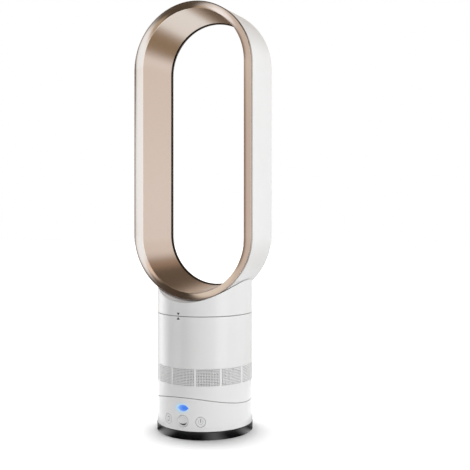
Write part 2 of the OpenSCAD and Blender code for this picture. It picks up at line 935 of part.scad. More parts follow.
module guide_vanes() {
    color("#9ea3a8") {
        translate([0, 0, vane_z]) tube(bucket_r + fit_gap + vane_sleeve, bucket_r + fit_gap, vane_h);
        intersection() {
            translate([0, 0, vane_z]) tube(duct_r - fit_gap, bucket_r + vane_sleeve / 2, vane_h);
            around(vanes) curved_sheet(vane_curve_at, vane_curve_r, vane_t, vane_z, vane_h);
        }
    }
}

// Upright curved sheet on one side of a circle whose centre is off the axis
module curved_sheet(centre_at, curve_r, t, z, h) {
    intersection() {
        translate([centre_at, 0, z]) tube(curve_r, curve_r - t, h);
        translate([-body_d, 0, z]) cube([2 * body_d, body_d, h]);
    }
}

module motor_bucket_lower() {
    color("#8b9096")
    rotate_extrude() {
        translate([shaft_r + shaft_hole_gap, bucket_z])
            square([bucket_r - shaft_r - shaft_hole_gap, bucket_wall]);
        translate([bucket_r - bucket_wall, bucket_z]) square([bucket_wall, bucket_split_z - bucket_z]);
        translate([bearing_r + fit_gap, bucket_z]) square([seat_wall, bucket_wall + bearing_h]);
        translate([stator_r + fit_gap, bucket_z]) square([seat_wall, stator_z + stator_h / 2 - bucket_z]);
    }
}

module motor_bucket_upper() {
    color("#8b9096")
    rotate_extrude() {
        translate([bucket_r - bucket_wall, bucket_split_z])
            square([bucket_wall, bucket_top_z - bucket_split_z]);
        translate([0, bucket_top_z - bucket_wall]) square([bucket_r, bucket_wall]);
        translate([bearing_r + fit_gap, bucket_top_z - bucket_wall - bearing_h])
            square([seat_wall, bearing_h + bucket_wall / 2]);
    }
}

module motor_stator() {
    color("#5d3a24")
    difference() {
        translate([0, 0, stator_z]) tube(stator_r, stator_bore_r, stator_h);
        around(stator_slots) translate([stator_bore_r + stator_shoe, -stator_slot_w / 2, stator_z - over])
            cube([stator_r - stator_ring - stator_bore_r - stator_shoe, stator_slot_w, stator_h + 2 * over]);
    }
}

module motor_bearings() {
    color("#cfd3d8")
    for (z = [bucket_z + bucket_wall, bucket_top_z - bucket_wall - bearing_h])
        translate([0, 0, z]) difference() {
            tube(bearing_r, shaft_r + shaft_gap, bearing_h);
            for (face = [0, bearing_h]) translate([0, 0, face - bearing_groove])
                tube(bearing_r - bearing_lip, shaft_r + bearing_lip, 2 * bearing_groove);
        }
}

module driver_board() {
    color("#2f6b3c")
    translate([0, 0, driver_board_z])
        tube(bucket_r - bucket_wall - fit_gap, bearing_r + seat_wall + driver_board_gap, board_t);
}

module lock_socket() {
    socket_z = lock_z - 2 * lock_gap - slab_t;
    slot_arc = tab_arc + tab_spare;
    tab_reach_r = skirt_r + tab_out + lock_gap;
    color("#c9c9c9")
    difference() {
        translate([0, 0, socket_z]) tube(seat_r, skirt_r + lock_gap, body_top_z - socket_z);
        translate([0, 0, lock_z - lock_gap]) cylinder(r = tab_reach_r, h = tab_h + 2 * lock_gap);
        around(tabs, twist_range) rotate([0, 0, -slot_arc / 2]) translate([0, 0, lock_z])
            rotate_extrude(angle = slot_arc) square([tab_reach_r, body_top_z]);
    }
}

module outlet_seal() {
    color("#262626")
    translate([0, 0, duct_top_z]) tube(duct_r + duct_wall, duct_r, seal_h);
}

// Air drive

module impeller() {
    cone_top_r = bucket_r;
    color("#3b4a57") {
        difference() {
            rotate_extrude() polygon([
                [0, impeller_z - impeller_nose_h], [impeller_boss_r, impeller_z - impeller_nose_h],
                [impeller_nose_r, impeller_z], [cone_top_r, impeller_top_z],
                [cone_top_r - cone_wall, impeller_top_z],
                [impeller_nose_r, impeller_z + 2 * cone_wall], [impeller_boss_r, impeller_z + 2 * cone_wall],
                [impeller_boss_r, impeller_top_z], [0, impeller_top_z]
            ]);
            translate([0, 0, shaft_bottom_z]) cylinder(r = shaft_r + shaft_gap, h = impeller_top_z);
        }
        intersection() {
            rotate_extrude() polygon([
                [impeller_nose_r - cone_wall / 2, impeller_z], [inlet_r - tip_gap, impeller_z],
                [duct_r - tip_gap, impeller_top_z], [cone_top_r - cone_wall / 2, impeller_top_z]
            ]);
            around(blades) curved_sheet(blade_curve_at, blade_curve_r, blade_t, impeller_z, impeller_h);
        }
    }
}

module motor_shaft() {
    color("#d5d8dc")
    translate([0, 0, shaft_bottom_z])
        cylinder(r = shaft_r, h = bucket_top_z - bucket_wall - run_gap - shaft_bottom_z);
}

module motor_rotor() {
    color("#45484d")
    translate([0, 0, stator_z]) tube(stator_bore_r - rotor_gap, shaft_r + fit_gap / 2, stator_h);
}

module impeller_nut() {
    color("#8f9398")
    translate([0, 0, impeller_z - impeller_nose_h - nut_h]) difference() {
        cylinder(r = nut_r, h = nut_h, $fn = 6);
        translate([0, 0, -over]) cylinder(r = shaft_r + fit_gap / 2, h = nut_h + 2 * over);
    }
}

// Loop

// Solid cylinder on the loop's lower arc, along Y
module low_arc(r) {
    translate([0, 0, low_c_z]) rotate([90, 0, 0])
        cylinder(r = r, h = 2 * body_d, center = true, $fn = 200);
}

// Carries a section, drawn as distance from the middle line and depth, round the whole loop
module round_the_loop(low_z, high_z) {
    translate([0, 0, low_z]) linear_extrude(high_z - low_z) {
        children();
        mirror([1, 0]) children();
    }
    for (end = [[high_z, 0], [low_z, 1]]) translate([0, 0, end[0]]) mirror([0, 0, end[1]])
        mirror([0, 1, 0]) rotate([90, 0, 0]) rotate_extrude(angle = 180, $fn = 160) children();
}

// Straight-sided section with a round rear corner
module shell_outline(outer_r, rear_y, corner_r) {
    in_r = lip_wall_r - 2 * arc_shift;
    translate([in_r, -shell_front]) square([outer_r - in_r, shell_front + rear_y - corner_r]);
    translate([in_r, -shell_front]) square([outer_r - corner_r - in_r, shell_front + rear_y]);
    translate([outer_r - corner_r, rear_y - corner_r]) circle(r = corner_r, $fn = 80);
}

module air_window(z, h) {
    translate([-window_x, -window_front, z]) cube([2 * window_x, window_front + window_rear, h]);
}

module loop_shell() {
    inner_shell_r = loop_r - shell_wall;
    color("#f3f3f3")
    difference() {
        round_the_loop(low_c_z, top_c_z) difference() {
            shell_outline(loop_r, loop_rear, rear_round);
            translate([-over, -over])
                shell_outline(inner_shell_r + over, loop_rear - shell_wall + over, rear_round - shell_wall);
        }
        translate([0, -over, 0]) liner_prism(lip_wall_r, loop_rear + 2 * over);
        air_window(loop_bottom_z - over, window_h + over);
    }
}

// Flared wall that ends in a round nose at the air slot
module liner_section() {
    polygon([
        [rim_in_r, -shell_front], [rim_in_r + liner_wall, -shell_front],
        [liner_rear_r + liner_wall, nose_y - nose_r], [liner_rear_r, nose_y - nose_r]
    ]);
    translate([liner_rear_r + nose_r, nose_y - nose_r]) circle(r = nose_r, $fn = 48);
}

module loop_liner() {
    color("#cdb9a6")
    round_the_loop(liner_low_c_z, liner_top_c_z) liner_section();
}

module front_rim() {
    inner_edge_r = rim_in_r - 2 * arc_shift;
    color("#c9ab8b")
    difference() {
        round_the_loop(low_c_z, top_c_z) intersection() {
            translate([inner_edge_r, -loop_front]) square([rim_r - inner_edge_r, loop_front - shell_front]);
            translate([loop_r - rim_crown_in, rim_crown_r - loop_front]) circle(r = rim_crown_r, $fn = 120);
        }
        translate([0, -loop_front - over, 0]) liner_prism(rim_in_r, loop_front);
    }
}

// Stadium prism along Y with the liner's arc centres
module liner_prism(r, depth) {
    for (z = [liner_low_c_z, liner_top_c_z]) translate([0, depth, z]) rotate([90, 0, 0])
        cylinder(r = r, h = depth, $fn = 160);
    translate([-r, 0, liner_low_c_z]) cube([2 * r, depth, liner_top_c_z - liner_low_c_z]);
}

module edge_bead() {
    color("#3a332e")
    round_the_loop(low_c_z, top_c_z)
        translate([rim_r, -bead_front]) square([bead_w, bead_t]);
}

module slot_lip() {
    color("#2e2925")
    round_the_loop(liner_low_c_z, liner_top_c_z) polygon([
        [lip_r, lip_front_y], [lip_r + lip_t, lip_front_y], [lip_r + lip_t, loop_rear - shell_wall],
        [lip_wall_r, loop_rear - shell_wall], [lip_wall_r, loop_rear], [lip_r, loop_rear]
    ]);
}

// Small blocks that hold the liner's nose off the rear wall
module slot_spacers() {
    straight = liner_top_c_z - liner_low_c_z;
    color("#c9ab8b")
    difference() {
        union() {
            both_sides() for (i = [0 : spacer_rows - 1])
                translate([0, 0, liner_low_c_z + (i + 0.5) / spacer_rows * straight]) slot_spacer();
            for (i = [0 : arc_spacers - 1]) {
                a = (i + 0.5) / arc_spacers * 180;
                translate([0, 0, liner_top_c_z]) rotate([0, -a, 0]) slot_spacer();
                translate([0, 0, liner_low_c_z]) rotate([0, a, 0]) slot_spacer();
            }
        }
        round_the_loop(liner_low_c_z, liner_top_c_z) liner_section();
    }
}

module slot_spacer() {
    translate([liner_rear_r + nose_r, nose_y - nose_r, -spacer_w / 2])
        cube([spacer_depth, loop_rear - shell_wall - nose_y + nose_r, spacer_w]);
}

module neck() {
    color("#f1f1f1")
    difference() {
        translate([0, 0, neck_z]) cylinder(r = body_r, h = low_c_z - neck_z);
        low_arc(loop_r + neck_fit);
        difference() {
            translate([0, 0, neck_z - over]) cylinder(r = inner_r, h = low_c_z - neck_z);
            low_arc(loop_r + neck_fit + neck_roof);
        }
        air_window(neck_z, low_c_z - neck_z);
    }
}

module lock_ring() {
    color("#5a5a5c") {
        translate([0, 0, skirt_z]) tube(skirt_r, skirt_r - skirt_wall, neck_z + lock_flange_t - skirt_z);
        translate([0, 0, body_top_z + run_gap]) tube(seat_r, skirt_r - skirt_wall / 2, lock_flange_t);
        translate([0, 0, duct_top_z + seal_h + run_gap]) tube(skirt_r - skirt_wall / 2, duct_r, slab_t);
        around(tabs) rotate([0, 0, -tab_arc / 2]) translate([0, 0, lock_z])
            rotate_extrude(angle = tab_arc) translate([skirt_r - skirt_wall / 2, 0])
                square([skirt_wall / 2 + tab_out, tab_h]);
    }
}

foot_ring();
base_plate();
foot_pads();
spindle();
spindle_washer();
spindle_screw();
curved_rack();
turntable_race();
ball_cage();
turntable_balls();
foot_screws();
control_housing();
base_floor();
tilt_saddle();
control_board();
tact_switches();
speed_encoder();
indicator_led();
indicator_lens();
power_inlet();
power_board();
turning_motor();
base_screws();
pinion();
swing_button();
power_button();
speed_dial();
body_collar();
tilt_shoe();
cable_grommet();
intake_grille();
body_shell();
intake_foam();
isolator_ring();
impeller_housing();
inlet_bellmouth();
guide_vanes();
motor_bucket_lower();
motor_bucket_upper();
motor_stator();
motor_bearings();
driver_board();
lock_socket();
outlet_seal();
impeller();
motor_shaft();
motor_rotor();
impeller_nut();
neck();
lock_ring();
loop_shell();
loop_liner();
front_rim();
edge_bead();
slot_lip();
slot_spacers();
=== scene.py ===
import json
import math

import bmesh
import bpy
from mathutils import Matrix, Vector

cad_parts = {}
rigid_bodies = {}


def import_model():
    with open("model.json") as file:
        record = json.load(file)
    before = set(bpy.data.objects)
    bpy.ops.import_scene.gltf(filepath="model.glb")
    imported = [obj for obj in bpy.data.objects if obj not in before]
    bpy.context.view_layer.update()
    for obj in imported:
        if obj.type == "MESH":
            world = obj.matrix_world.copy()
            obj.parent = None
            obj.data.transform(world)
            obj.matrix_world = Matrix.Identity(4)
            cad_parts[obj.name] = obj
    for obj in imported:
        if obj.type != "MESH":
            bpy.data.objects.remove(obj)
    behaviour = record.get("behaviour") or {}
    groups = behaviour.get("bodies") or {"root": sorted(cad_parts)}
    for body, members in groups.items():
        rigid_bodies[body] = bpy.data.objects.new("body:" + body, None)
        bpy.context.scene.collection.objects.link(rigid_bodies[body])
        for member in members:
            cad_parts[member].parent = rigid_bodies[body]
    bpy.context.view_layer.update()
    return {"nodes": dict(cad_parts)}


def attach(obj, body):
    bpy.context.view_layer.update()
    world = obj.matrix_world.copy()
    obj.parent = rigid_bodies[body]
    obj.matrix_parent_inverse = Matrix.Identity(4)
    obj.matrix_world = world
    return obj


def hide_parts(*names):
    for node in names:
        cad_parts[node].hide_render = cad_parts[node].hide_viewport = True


# Bladeless tower fan. Pieces are drawn in millimetres and brought to metres as each is finished.

print("frame: loading the packed model")
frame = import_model()
nodes = frame["nodes"]
slotOfNode = {name: node.data.materials[0].name for name, node in nodes.items()}

millimetre = 0.001
mergeWithin = 0.002  # points of a piece that are nearer than this become one
hairline = 0.01  # heights and radii that differ by less than this count as the same
sharpAngle = 35  # edges that turn by more degrees than this stay sharp


def roundCorners(bm, corners, radius, segments):
    bmesh.ops.bevel(bm, geom=corners, offset=radius, offset_type="OFFSET", affect="VERTICES",
                    segments=segments, profile=0.5, material=-1)


def drawSection(points, rounds, upAxis="Z"):
    # closed outline of a wall, with the listed corners rounded: {corner: (radius, segments)}
    bm = bmesh.new()
    corners = [bm.verts.new((r, 0, h) if upAxis == "Z" else (r, h, 0)) for r, h in points]
    bm.faces.new(corners)
    for corner, (radius, segments) in rounds.items():
        roundCorners(bm, [corners[corner]], radius, segments)
    bmesh.ops.delete(bm, geom=bm.faces[:], context="FACES_ONLY")
    return bm


def spinRound(bm, steps):
    onAxis = [edge for edge in bm.edges if all(math.hypot(v.co.x, v.co.y) < hairline for v in edge.verts)]
    bmesh.ops.delete(bm, geom=onAxis, context="EDGES")
    bmesh.ops.spin(bm, geom=bm.verts[:] + bm.edges[:], cent=(0, 0, 0), axis=(0, 0, 1),
                   angle=math.tau, steps=steps, use_merge=True)
    bmesh.ops.remove_doubles(bm, verts=bm.verts[:], dist=mergeWithin)


def splitKinds(geometry):
    return ([part for part in geometry if isinstance(part, bmesh.types.BMVert)],
            [part for part in geometry if isinstance(part, bmesh.types.BMEdge)])


def finishPiece(name, bm, carrier, slot, replaced=(), weighted=True):
    bmesh.ops.recalc_face_normals(bm, faces=bm.faces[:])
    mesh = bpy.data.meshes.new(name)
    bm.to_mesh(mesh)
    bm.free()
    mesh.transform(Matrix.Scale(millimetre, 4))
    mesh.shade_smooth()
    mesh.set_sharp_from_angle(angle=math.radians(sharpAngle))
    piece = bpy.data.objects.new(name, mesh)
    bpy.context.scene.collection.objects.link(piece)
    if weighted:
        piece.modifiers.new("even shading", "WEIGHTED_NORMAL").keep_sharp = True
    mesh.materials.append(finishes[slot])
    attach(piece, carrier)
    if replaced:
        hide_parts(*replaced)


def setSockets(node, **values):
    for socket, value in values.items():
        node.inputs[socket.replace("_", " ")].default_value = value


def addNode(tree, kind, **values):
    # each value is a setting of the node, or else the value of its socket with that name
    node = tree.nodes.new("ShaderNode" + kind)
    for key, value in values.items():
        if hasattr(node, key):
            setattr(node, key, value)
        else:
            setSockets(node, **{key: value})
    return node


def addMath(tree, operation, *values):
    node = addNode(tree, "Math", operation=operation)
    for socket, value in zip(node.inputs, values):
        if isinstance(value, bpy.types.NodeSocket):
            tree.links.new(value, socket)
        else:
            socket.default_value = value
    return node.outputs[0]


def addRamp(tree, value, start, end):
    ramp = addNode(tree, "MapRange", interpolation_type="SMOOTHSTEP", From_Min=start, From_Max=end)
    tree.links.new(value, ramp.inputs["Value"])
    return ramp.outputs[0]


def addTint(tree, mask, base, tone):
    mix = addNode(tree, "MixRGB")
    mix.inputs[2].default_value = (*tone, 1)
    tree.links.new(mask, mix.inputs[0])
    if isinstance(base, bpy.types.NodeSocket):
        tree.links.new(base, mix.inputs[1])
    else:
        mix.inputs[1].default_value = (*base, 1)
    return mix.outputs[0]


def newGroup(name, inputs, outputs=("Tone", "Gloss", "Height")):
    group = bpy.data.node_groups.new(name, "ShaderNodeTree")
    for socket, value in inputs.items():
        kind = "NodeSocketVector" if isinstance(value, tuple) else "NodeSocketFloat"
        group.interface.new_socket(socket, in_out="INPUT", socket_type=kind).default_value = value
    for socket in outputs:
        group.interface.new_socket(socket, in_out="OUTPUT", socket_type="NodeSocketFloat")
    return group, group.nodes.new("NodeGroupInput"), group.nodes.new("NodeGroupOutput")


def buildMouldedGroup():
    # moulded plastic: broad cloudiness, fine grain and faint handling marks
    group, given, result = newGroup("mouldedSkin", {"Cloud": 18, "Grain": 2600, "Marks": 140})
    link = group.links.new
    place = addNode(group, "TexCoord").outputs["Object"]
    cloud = addNode(group, "TexNoise", Detail=3, Roughness=0.5)
    grain = addNode(group, "TexNoise", Detail=2, Roughness=0.6)
    marks = addNode(group, "TexNoise", Detail=6, Roughness=0.7, Distortion=0.6)
    marksShare = 0.7
    for texture, scale in ((cloud, "Cloud"), (grain, "Grain"), (marks, "Marks")):
        link(place, texture.inputs["Vector"])
        link(given.outputs[scale], texture.inputs["Scale"])
    link(cloud.outputs["Fac"], result.inputs["Tone"])
    link(addMath(group, "MULTIPLY_ADD", marks.outputs["Fac"], marksShare, grain.outputs["Fac"]),
         result.inputs["Gloss"])
    link(grain.outputs["Fac"], result.inputs["Height"])
    return group


def buildTurnedGroup():
    # turned or drawn metal: fine lines round the upright axis, and a little cloud
    group, given, result = newGroup("turnedMetal", {"Lines": 1500, "Cloud": 40})
    link = group.links.new
    place = addNode(group, "TexCoord").outputs["Object"]
    parts = addNode(group, "SeparateXYZ")
    joined = addNode(group, "CombineXYZ")
    lines = addNode(group, "TexNoise", Detail=3, Roughness=0.7)
    cloud = addNode(group, "TexNoise", Detail=3)
    link(place, parts.inputs[0])
    x, y, z = parts.outputs
    radius = addMath(group, "SQRT", addMath(group, "MULTIPLY_ADD", y, y, addMath(group, "MULTIPLY", x, x)))
    link(radius, joined.inputs["X"])
    link(z, joined.inputs["Z"])
    link(joined.outputs[0], lines.inputs["Vector"])
    link(given.outputs["Lines"], lines.inputs["Scale"])
    link(place, cloud.inputs["Vector"])
    link(given.outputs["Cloud"], cloud.inputs["Scale"])
    link(cloud.outputs["Fac"], result.inputs["Tone"])
    link(lines.outputs["Fac"], result.inputs["Gloss"])
    link(lines.outputs["Fac"], result.inputs["Height"])
    return group


def buildCellGroup():
    # open foam or speckled rubber: rounded cells with soft walls
    group, given, result = newGroup("cellSkin", {"Cells": 900})
    link = group.links.new
    place = addNode(group, "TexCoord").outputs["Object"]
    cells = addNode(group, "TexVoronoi", feature="SMOOTH_F1")
    speck = addNode(group, "TexNoise", Detail=4, Scale=500)
    link(place, cells.inputs["Vector"])
    link(given.outputs["Cells"], cells.inputs["Scale"])
    link(place, speck.inputs["Vector"])
    link(cells.outputs["Distance"], result.inputs["Tone"])
    link(speck.outputs["Fac"], result.inputs["Gloss"])
    link(cells.outputs["Distance"], result.inputs["Height"])
    return group


def buildSpotGroup():
    # soft spot: 1 in the middle of an ellipsoid, 0 at its skin and outside
    group, given, result = newGroup("softSpot", {"Centre": (0, 0, 0), "Size": (1, 1, 1)}, ("Mask",))
    link = group.links.new
    mapping = addNode(group, "Mapping", vector_type="TEXTURE")
    spot = addNode(group, "TexGradient", gradient_type="SPHERICAL")
    link(addNode(group, "TexCoord").outputs["Object"], mapping.inputs["Vector"])
    link(given.outputs["Centre"], mapping.inputs["Location"])
    link(given.outputs["Size"], mapping.inputs["Scale"])
    link(mapping.outputs[0], spot.inputs["Vector"])
    link(spot.outputs["Fac"], result.inputs["Mask"])
    return group


skins = {"moulded": buildMouldedGroup(), "turned": buildTurnedGroup(), "cells": buildCellGroup()}
softSpot = buildSpotGroup()
reliefDepth = 0.0002  # how deep the skins' relief is, in metres
coatRoughness = 0.06


def makeFinish(name, skin, colour, shade, gloss, metal=0.0, relief=0.1, coat=0.0, sheen=0.0, shine=0.5,
               **scales):
    # colour varies by shade, and roughness between the two values of gloss
    material = bpy.data.materials.new(name + "Finish")
    material.use_nodes = True
    tree = material.node_tree
    shader = tree.nodes["Principled BSDF"]
    texture = addNode(tree, "Group", node_tree=skins[skin], **scales)
    mix = addNode(tree, "MixRGB")
    mix.inputs[1].default_value = (*[part * (1 - shade) for part in colour], 1)
    mix.inputs[2].default_value = (*[min(1, part * (1 + shade)) for part in colour], 1)
    spread = addNode(tree, "MapRange", From_Min=0.3, From_Max=1.0, To_Min=gloss[0], To_Max=gloss[1])
    bump = addNode(tree, "Bump", Strength=relief, Distance=reliefDepth)
    link = tree.links.new
    link(texture.outputs["Tone"], mix.inputs[0])
    link(mix.outputs[0], shader.inputs["Base Color"])
    link(texture.outputs["Gloss"], spread.inputs["Value"])
    link(spread.outputs[0], shader.inputs["Roughness"])
    link(texture.outputs["Height"], bump.inputs["Height"])
    link(bump.outputs["Normal"], shader.inputs["Normal"])
    setSockets(shader, Metallic=metal, Coat_Weight=coat, Coat_Roughness=coatRoughness, Sheen_Weight=sheen,
               Specular_IOR_Level=shine)
    return material


def openFinish(material):
    tree = material.node_tree
    shader = tree.nodes["Principled BSDF"]
    return tree, shader, shader.inputs["Base Color"].links[0].from_socket


def makeBoardFinish(name):
    # green solder mask over a grid of tracks, with small tinned pads
    material = makeFinish(name, "moulded", (0.02, 0.15, 0.05), 0.2, (0.25, 0.4), relief=0.05, Cloud=120)
    tree, shader, base = openFinish(material)
    place = addNode(tree, "TexCoord").outputs["Object"]
    tracks = addNode(tree, "TexBrick", Scale=320, Mortar_Size=0.06, Color1=(1, 1, 1, 1),
                     Color2=(0.8, 0.8, 0.8, 1), Mortar=(1.9, 1.9, 1.9, 1))
    pads = addNode(tree, "TexVoronoi", Scale=260)
    padSize, tin = 0.16, (0.62, 0.63, 0.62)
    tinted = addNode(tree, "MixRGB", blend_type="MULTIPLY")
    tinted.inputs[0].default_value = 1
    link = tree.links.new
    link(place, tracks.inputs["Vector"])
    link(place, pads.inputs["Vector"])
    link(base, tinted.inputs[1])
    link(tracks.outputs["Color"], tinted.inputs[2])
    onPad = addMath(tree, "LESS_THAN", pads.outputs["Distance"], padSize)
    link(onPad, shader.inputs["Metallic"])
    link(addTint(tree, onPad, tinted.outputs[0], tin), shader.inputs["Base Color"])
    return material


def makeWindingFinish(name):
    # enamelled wire wound side by side
    material = makeFinish(name, "turned", (0.55, 0.2, 0.07), 0.25, (0.25, 0.5), metal=0.85, relief=0.4)
    tree = material.node_tree
    wires = addNode(tree, "TexWave", Scale=260, Distortion=0.4, bands_direction="Z")
    tree.links.new(addNode(tree, "TexCoord").outputs["Object"], wires.inputs["Vector"])
    tree.links.new(wires.outputs["Fac"], tree.nodes["Bump"].inputs["Height"])
    return material


lens = {
    "z": 45.5, "width": 18, "height": 9.5, "fit": 0.15, "back": 67.5, "front": 72.12, "edge": 0.3,
    "rings": (0.965, 0.82, 0.64, 0.46, 0.28, 0.1), "steps": 20,
    # the glow in the window, paling from its middle to its edge, and the painted halo of its light on the
    # housing, in metres
    "colour": (0.02, 0.06, 0.25), "pale": (0.42, 0.66, 0.9), "blue": (0.13, 0.29, 0.74),
    "deep": (0.04, 0.17, 0.66), "blueAt": 0.34, "deepAt": 0.75, "strength": 0.95,
    "coreAt": (0.0034, -0.0721, 0.0457), "coreSize": (0.0125, 0.02, 0.0068),
    # painted light: the halo tints the housing's colour blue and makes it glow round the lens
    "haloAt": (-0.0018, -0.0721, 0.0453), "haloSize": (0.0148, 0.03, 0.0098), "haloFull": 0.6,
    "halo": (0.62, 0.84, 0.97), "haloGlow": (0.0, 0.05, 0.12),
}


def makeLensFinish(name):
    material = makeFinish(name, "moulded", lens["colour"], 0.03, (0.12, 0.2), relief=0.02, shine=0.2)
    tree, shader, _ = openFinish(material)
    core = addNode(tree, "Group", node_tree=softSpot, Centre=lens["coreAt"], Size=lens["coreSize"])
    ramp = addNode(tree, "ValToRGB")
    stops = ramp.color_ramp.elements
    stops[0].color = (*lens["pale"], 1)
    stops[1].position, stops[1].color = lens["deepAt"], (*lens["deep"], 1)
    stops.new(lens["blueAt"]).color = (*lens["blue"], 1)
    tree.links.new(core.outputs["Mask"], ramp.inputs["Fac"])
    tree.links.new(ramp.outputs["Color"], shader.inputs["Emission Color"])
    setSockets(shader, Emission_Strength=lens["strength"])
    return material


def makeHousingWithPaintedGlow(name):
    # white shell, with the blue light of the lamp behind the lens painted round it as a tint and a glow
    material = makeFinish(name, "moulded", white, 0.012, (0.13, 0.24), relief=0.02)
    tree, shader, base = openFinish(material)
    halo = addNode(tree, "Group", node_tree=softSpot, Centre=lens["haloAt"], Size=lens["haloSize"])
    soft = addRamp(tree, halo.outputs["Mask"], 0, lens["haloFull"])
    # painted light: the blue glow and the blue tint fade out from the lens
    tree.links.new(addTint(tree, soft, (0, 0, 0), lens["haloGlow"]), shader.inputs["Emission Color"])
    tree.links.new(addTint(tree, soft, base, lens["halo"]), shader.inputs["Base Color"])
    setSockets(shader, Emission_Strength=1)
    return material


print("materials: building the finishes")
white = (0.83, 0.83, 0.83)
finishes = {
    "foot_black": makeFinish("footBlack", "moulded", (0.004, 0.004, 0.0045), 0.2, (0.12, 0.24)),
    "plate_steel": makeFinish("plateSteel", "turned", (0.5, 0.51, 0.53), 0.08, (0.3, 0.5), metal=1.0),
    "machined_steel": makeFinish("machinedSteel", "turned", (0.62, 0.63, 0.65), 0.06, (0.12, 0.3), metal=1.0),
    "dark_screws": makeFinish("darkScrews", "turned", (0.14, 0.15, 0.16), 0.15, (0.25, 0.45), metal=1.0),
    "black_rubber": makeFinish("blackRubber", "cells", (0.022, 0.022, 0.022), 0.35, (0.6, 0.85),
                               relief=0.3, sheen=0.2),
    "gear_plastic": makeFinish("gearPlastic", "moulded", (0.78, 0.74, 0.62), 0.05, (0.3, 0.5)),
    "cage_plastic": makeFinish("cagePlastic", "moulded", (0.68, 0.55, 0.3), 0.08, (0.35, 0.55)),
    "white_shell": makeFinish("whiteShell", "moulded", white, 0.012, (0.13, 0.24), relief=0.02),
    "white_grille": makeFinish("whiteGrille", "moulded", white, 0.02, (0.32, 0.5), relief=0.05),
    "white_buttons": makeFinish("whiteButtons", "moulded", (0.82, 0.82, 0.82), 0.015, (0.25, 0.42),
                                relief=0.03),
    "inner_plastic": makeFinish("innerPlastic", "moulded", (0.68, 0.68, 0.67), 0.04, (0.45, 0.65),
                                relief=0.2),
    "circuit_green": makeBoardFinish("circuitGreen"),
    "component_black": makeFinish("componentBlack", "moulded", (0.02, 0.02, 0.022), 0.2, (0.4, 0.6),
                                  relief=0.25),
    "lamp_clear": makeFinish("lampClear", "moulded", (0.6, 0.75, 0.95), 0.04, (0.05, 0.15),
                             relief=0.02, coat=0.5),
    "lens_blue": makeLensFinish("lensBlue"),
    "motor_zinc": makeFinish("motorZinc", "turned", (0.48, 0.49, 0.5), 0.1, (0.3, 0.5), metal=1.0),
    "grey_foam": makeFinish("greyFoam", "cells", (0.075, 0.075, 0.08), 0.5, (0.85, 1.0), relief=1.0,
                            sheen=0.3),
    "duct_grey": makeFinish("ductGrey", "moulded", (0.42, 0.44, 0.46), 0.05, (0.4, 0.6), relief=0.15),
    "bucket_grey": makeFinish("bucketGrey", "moulded", (0.22, 0.24, 0.26), 0.08, (0.4, 0.6), relief=0.15),
    "copper_windings": makeWindingFinish("copperWindings"),
    "magnet_dark": makeFinish("magnetDark", "turned", (0.07, 0.07, 0.08), 0.2, (0.35, 0.55), metal=0.9),
    "impeller_blue": makeFinish("impellerBlue", "moulded", (0.045, 0.075, 0.11), 0.1, (0.3, 0.5)),
    "lock_grey": makeFinish("lockGrey", "moulded", (0.1, 0.1, 0.105), 0.1, (0.5, 0.7), relief=0.2),
    "liner_rose": makeFinish("linerRose", "moulded", (0.68, 0.56, 0.485), 0.015, (0.15, 0.24), metal=1.0,
                             relief=0.02),
    "rim_gold": makeFinish("rimGold", "moulded", (0.85, 0.745, 0.675), 0.015, (0.07, 0.14), metal=1.0,
                           relief=0.01),
    "edge_dark": makeFinish("edgeDark", "moulded", (0.52, 0.48, 0.45), 0.06, (0.12, 0.22), metal=1.0,
                            relief=0.02),
    # painted shade: the slot lip's near-black, down in the air slot
    "lip_dark": makeFinish("lipPaintedShade", "moulded", (0.05, 0.036, 0.028), 0.1, (0.45, 0.6), relief=0.05,
                           shine=0.2),
}
for name, node in nodes.items():
    node.material_slots[0].material = finishes[slotOfNode[name]]
# the housing carries the painted glow of the lens's lamp
nodes["control_housing"].material_slots[0].material = makeHousingWithPaintedGlow("housingWhiteAndPaintedGlow")

view = {"turn": 26.54, "place": (0.5553, -1.1118, 0.3315), "aside": 2.106, "lens": 62.35, "sensor": 36,
        "drop": -0.05304, "near": 0.05}


def placeCamera():
    camera = bpy.data.objects.new("camera", bpy.data.cameras.new("camera"))
    bpy.context.scene.collection.objects.link(camera)
    heading = math.radians(view["turn"] - view["aside"])
    ahead = Vector((-math.sin(heading), math.cos(heading), 0))
    camera.location = view["place"]
    camera.rotation_euler = ahead.to_track_quat("-Z", "Y").to_euler()
    camera.data.lens = view["lens"]
    camera.data.sensor_width = view["sensor"]
    camera.data.sensor_fit = "HORIZONTAL"
    camera.data.shift_y = view["drop"]
    camera.data.clip_start = view["near"]
    bpy.context.scene.camera = camera


placeCamera()
print("camera: placed")

loop = {
    "lowZ": 295.7, "topZ": 542.5, "shift": 3.5, "arcSteps": 96, "straightSteps": 12,
    "outerR": 97.5, "rear": 39.7, "rearRound": 12, "innerRound": 0.5, "wall": 2.2, "front": -42.6,
    "rimOuterR": 96.4, "rimInnerR": 83.7, "rimFront": -46.5, "rimEdge": 0.25, "rimCuts": 11,
    "crownR": 66, "crownAt": 105, "beadSunk": 0.3, "beadInnerEdge": 0.3, "beadOuterEdge": 0.45,
    "linerRearR": 77.2, "linerWall": 2, "nose": 35.5, "bulge": 2.2, "noseRound": 2.156,
    "lipR": 76, "lipWall": 0.7, "lipFront": 36, "lipSplit": 38, "lipEdge": 0.3, "lipRearEdge": 0.9,
}


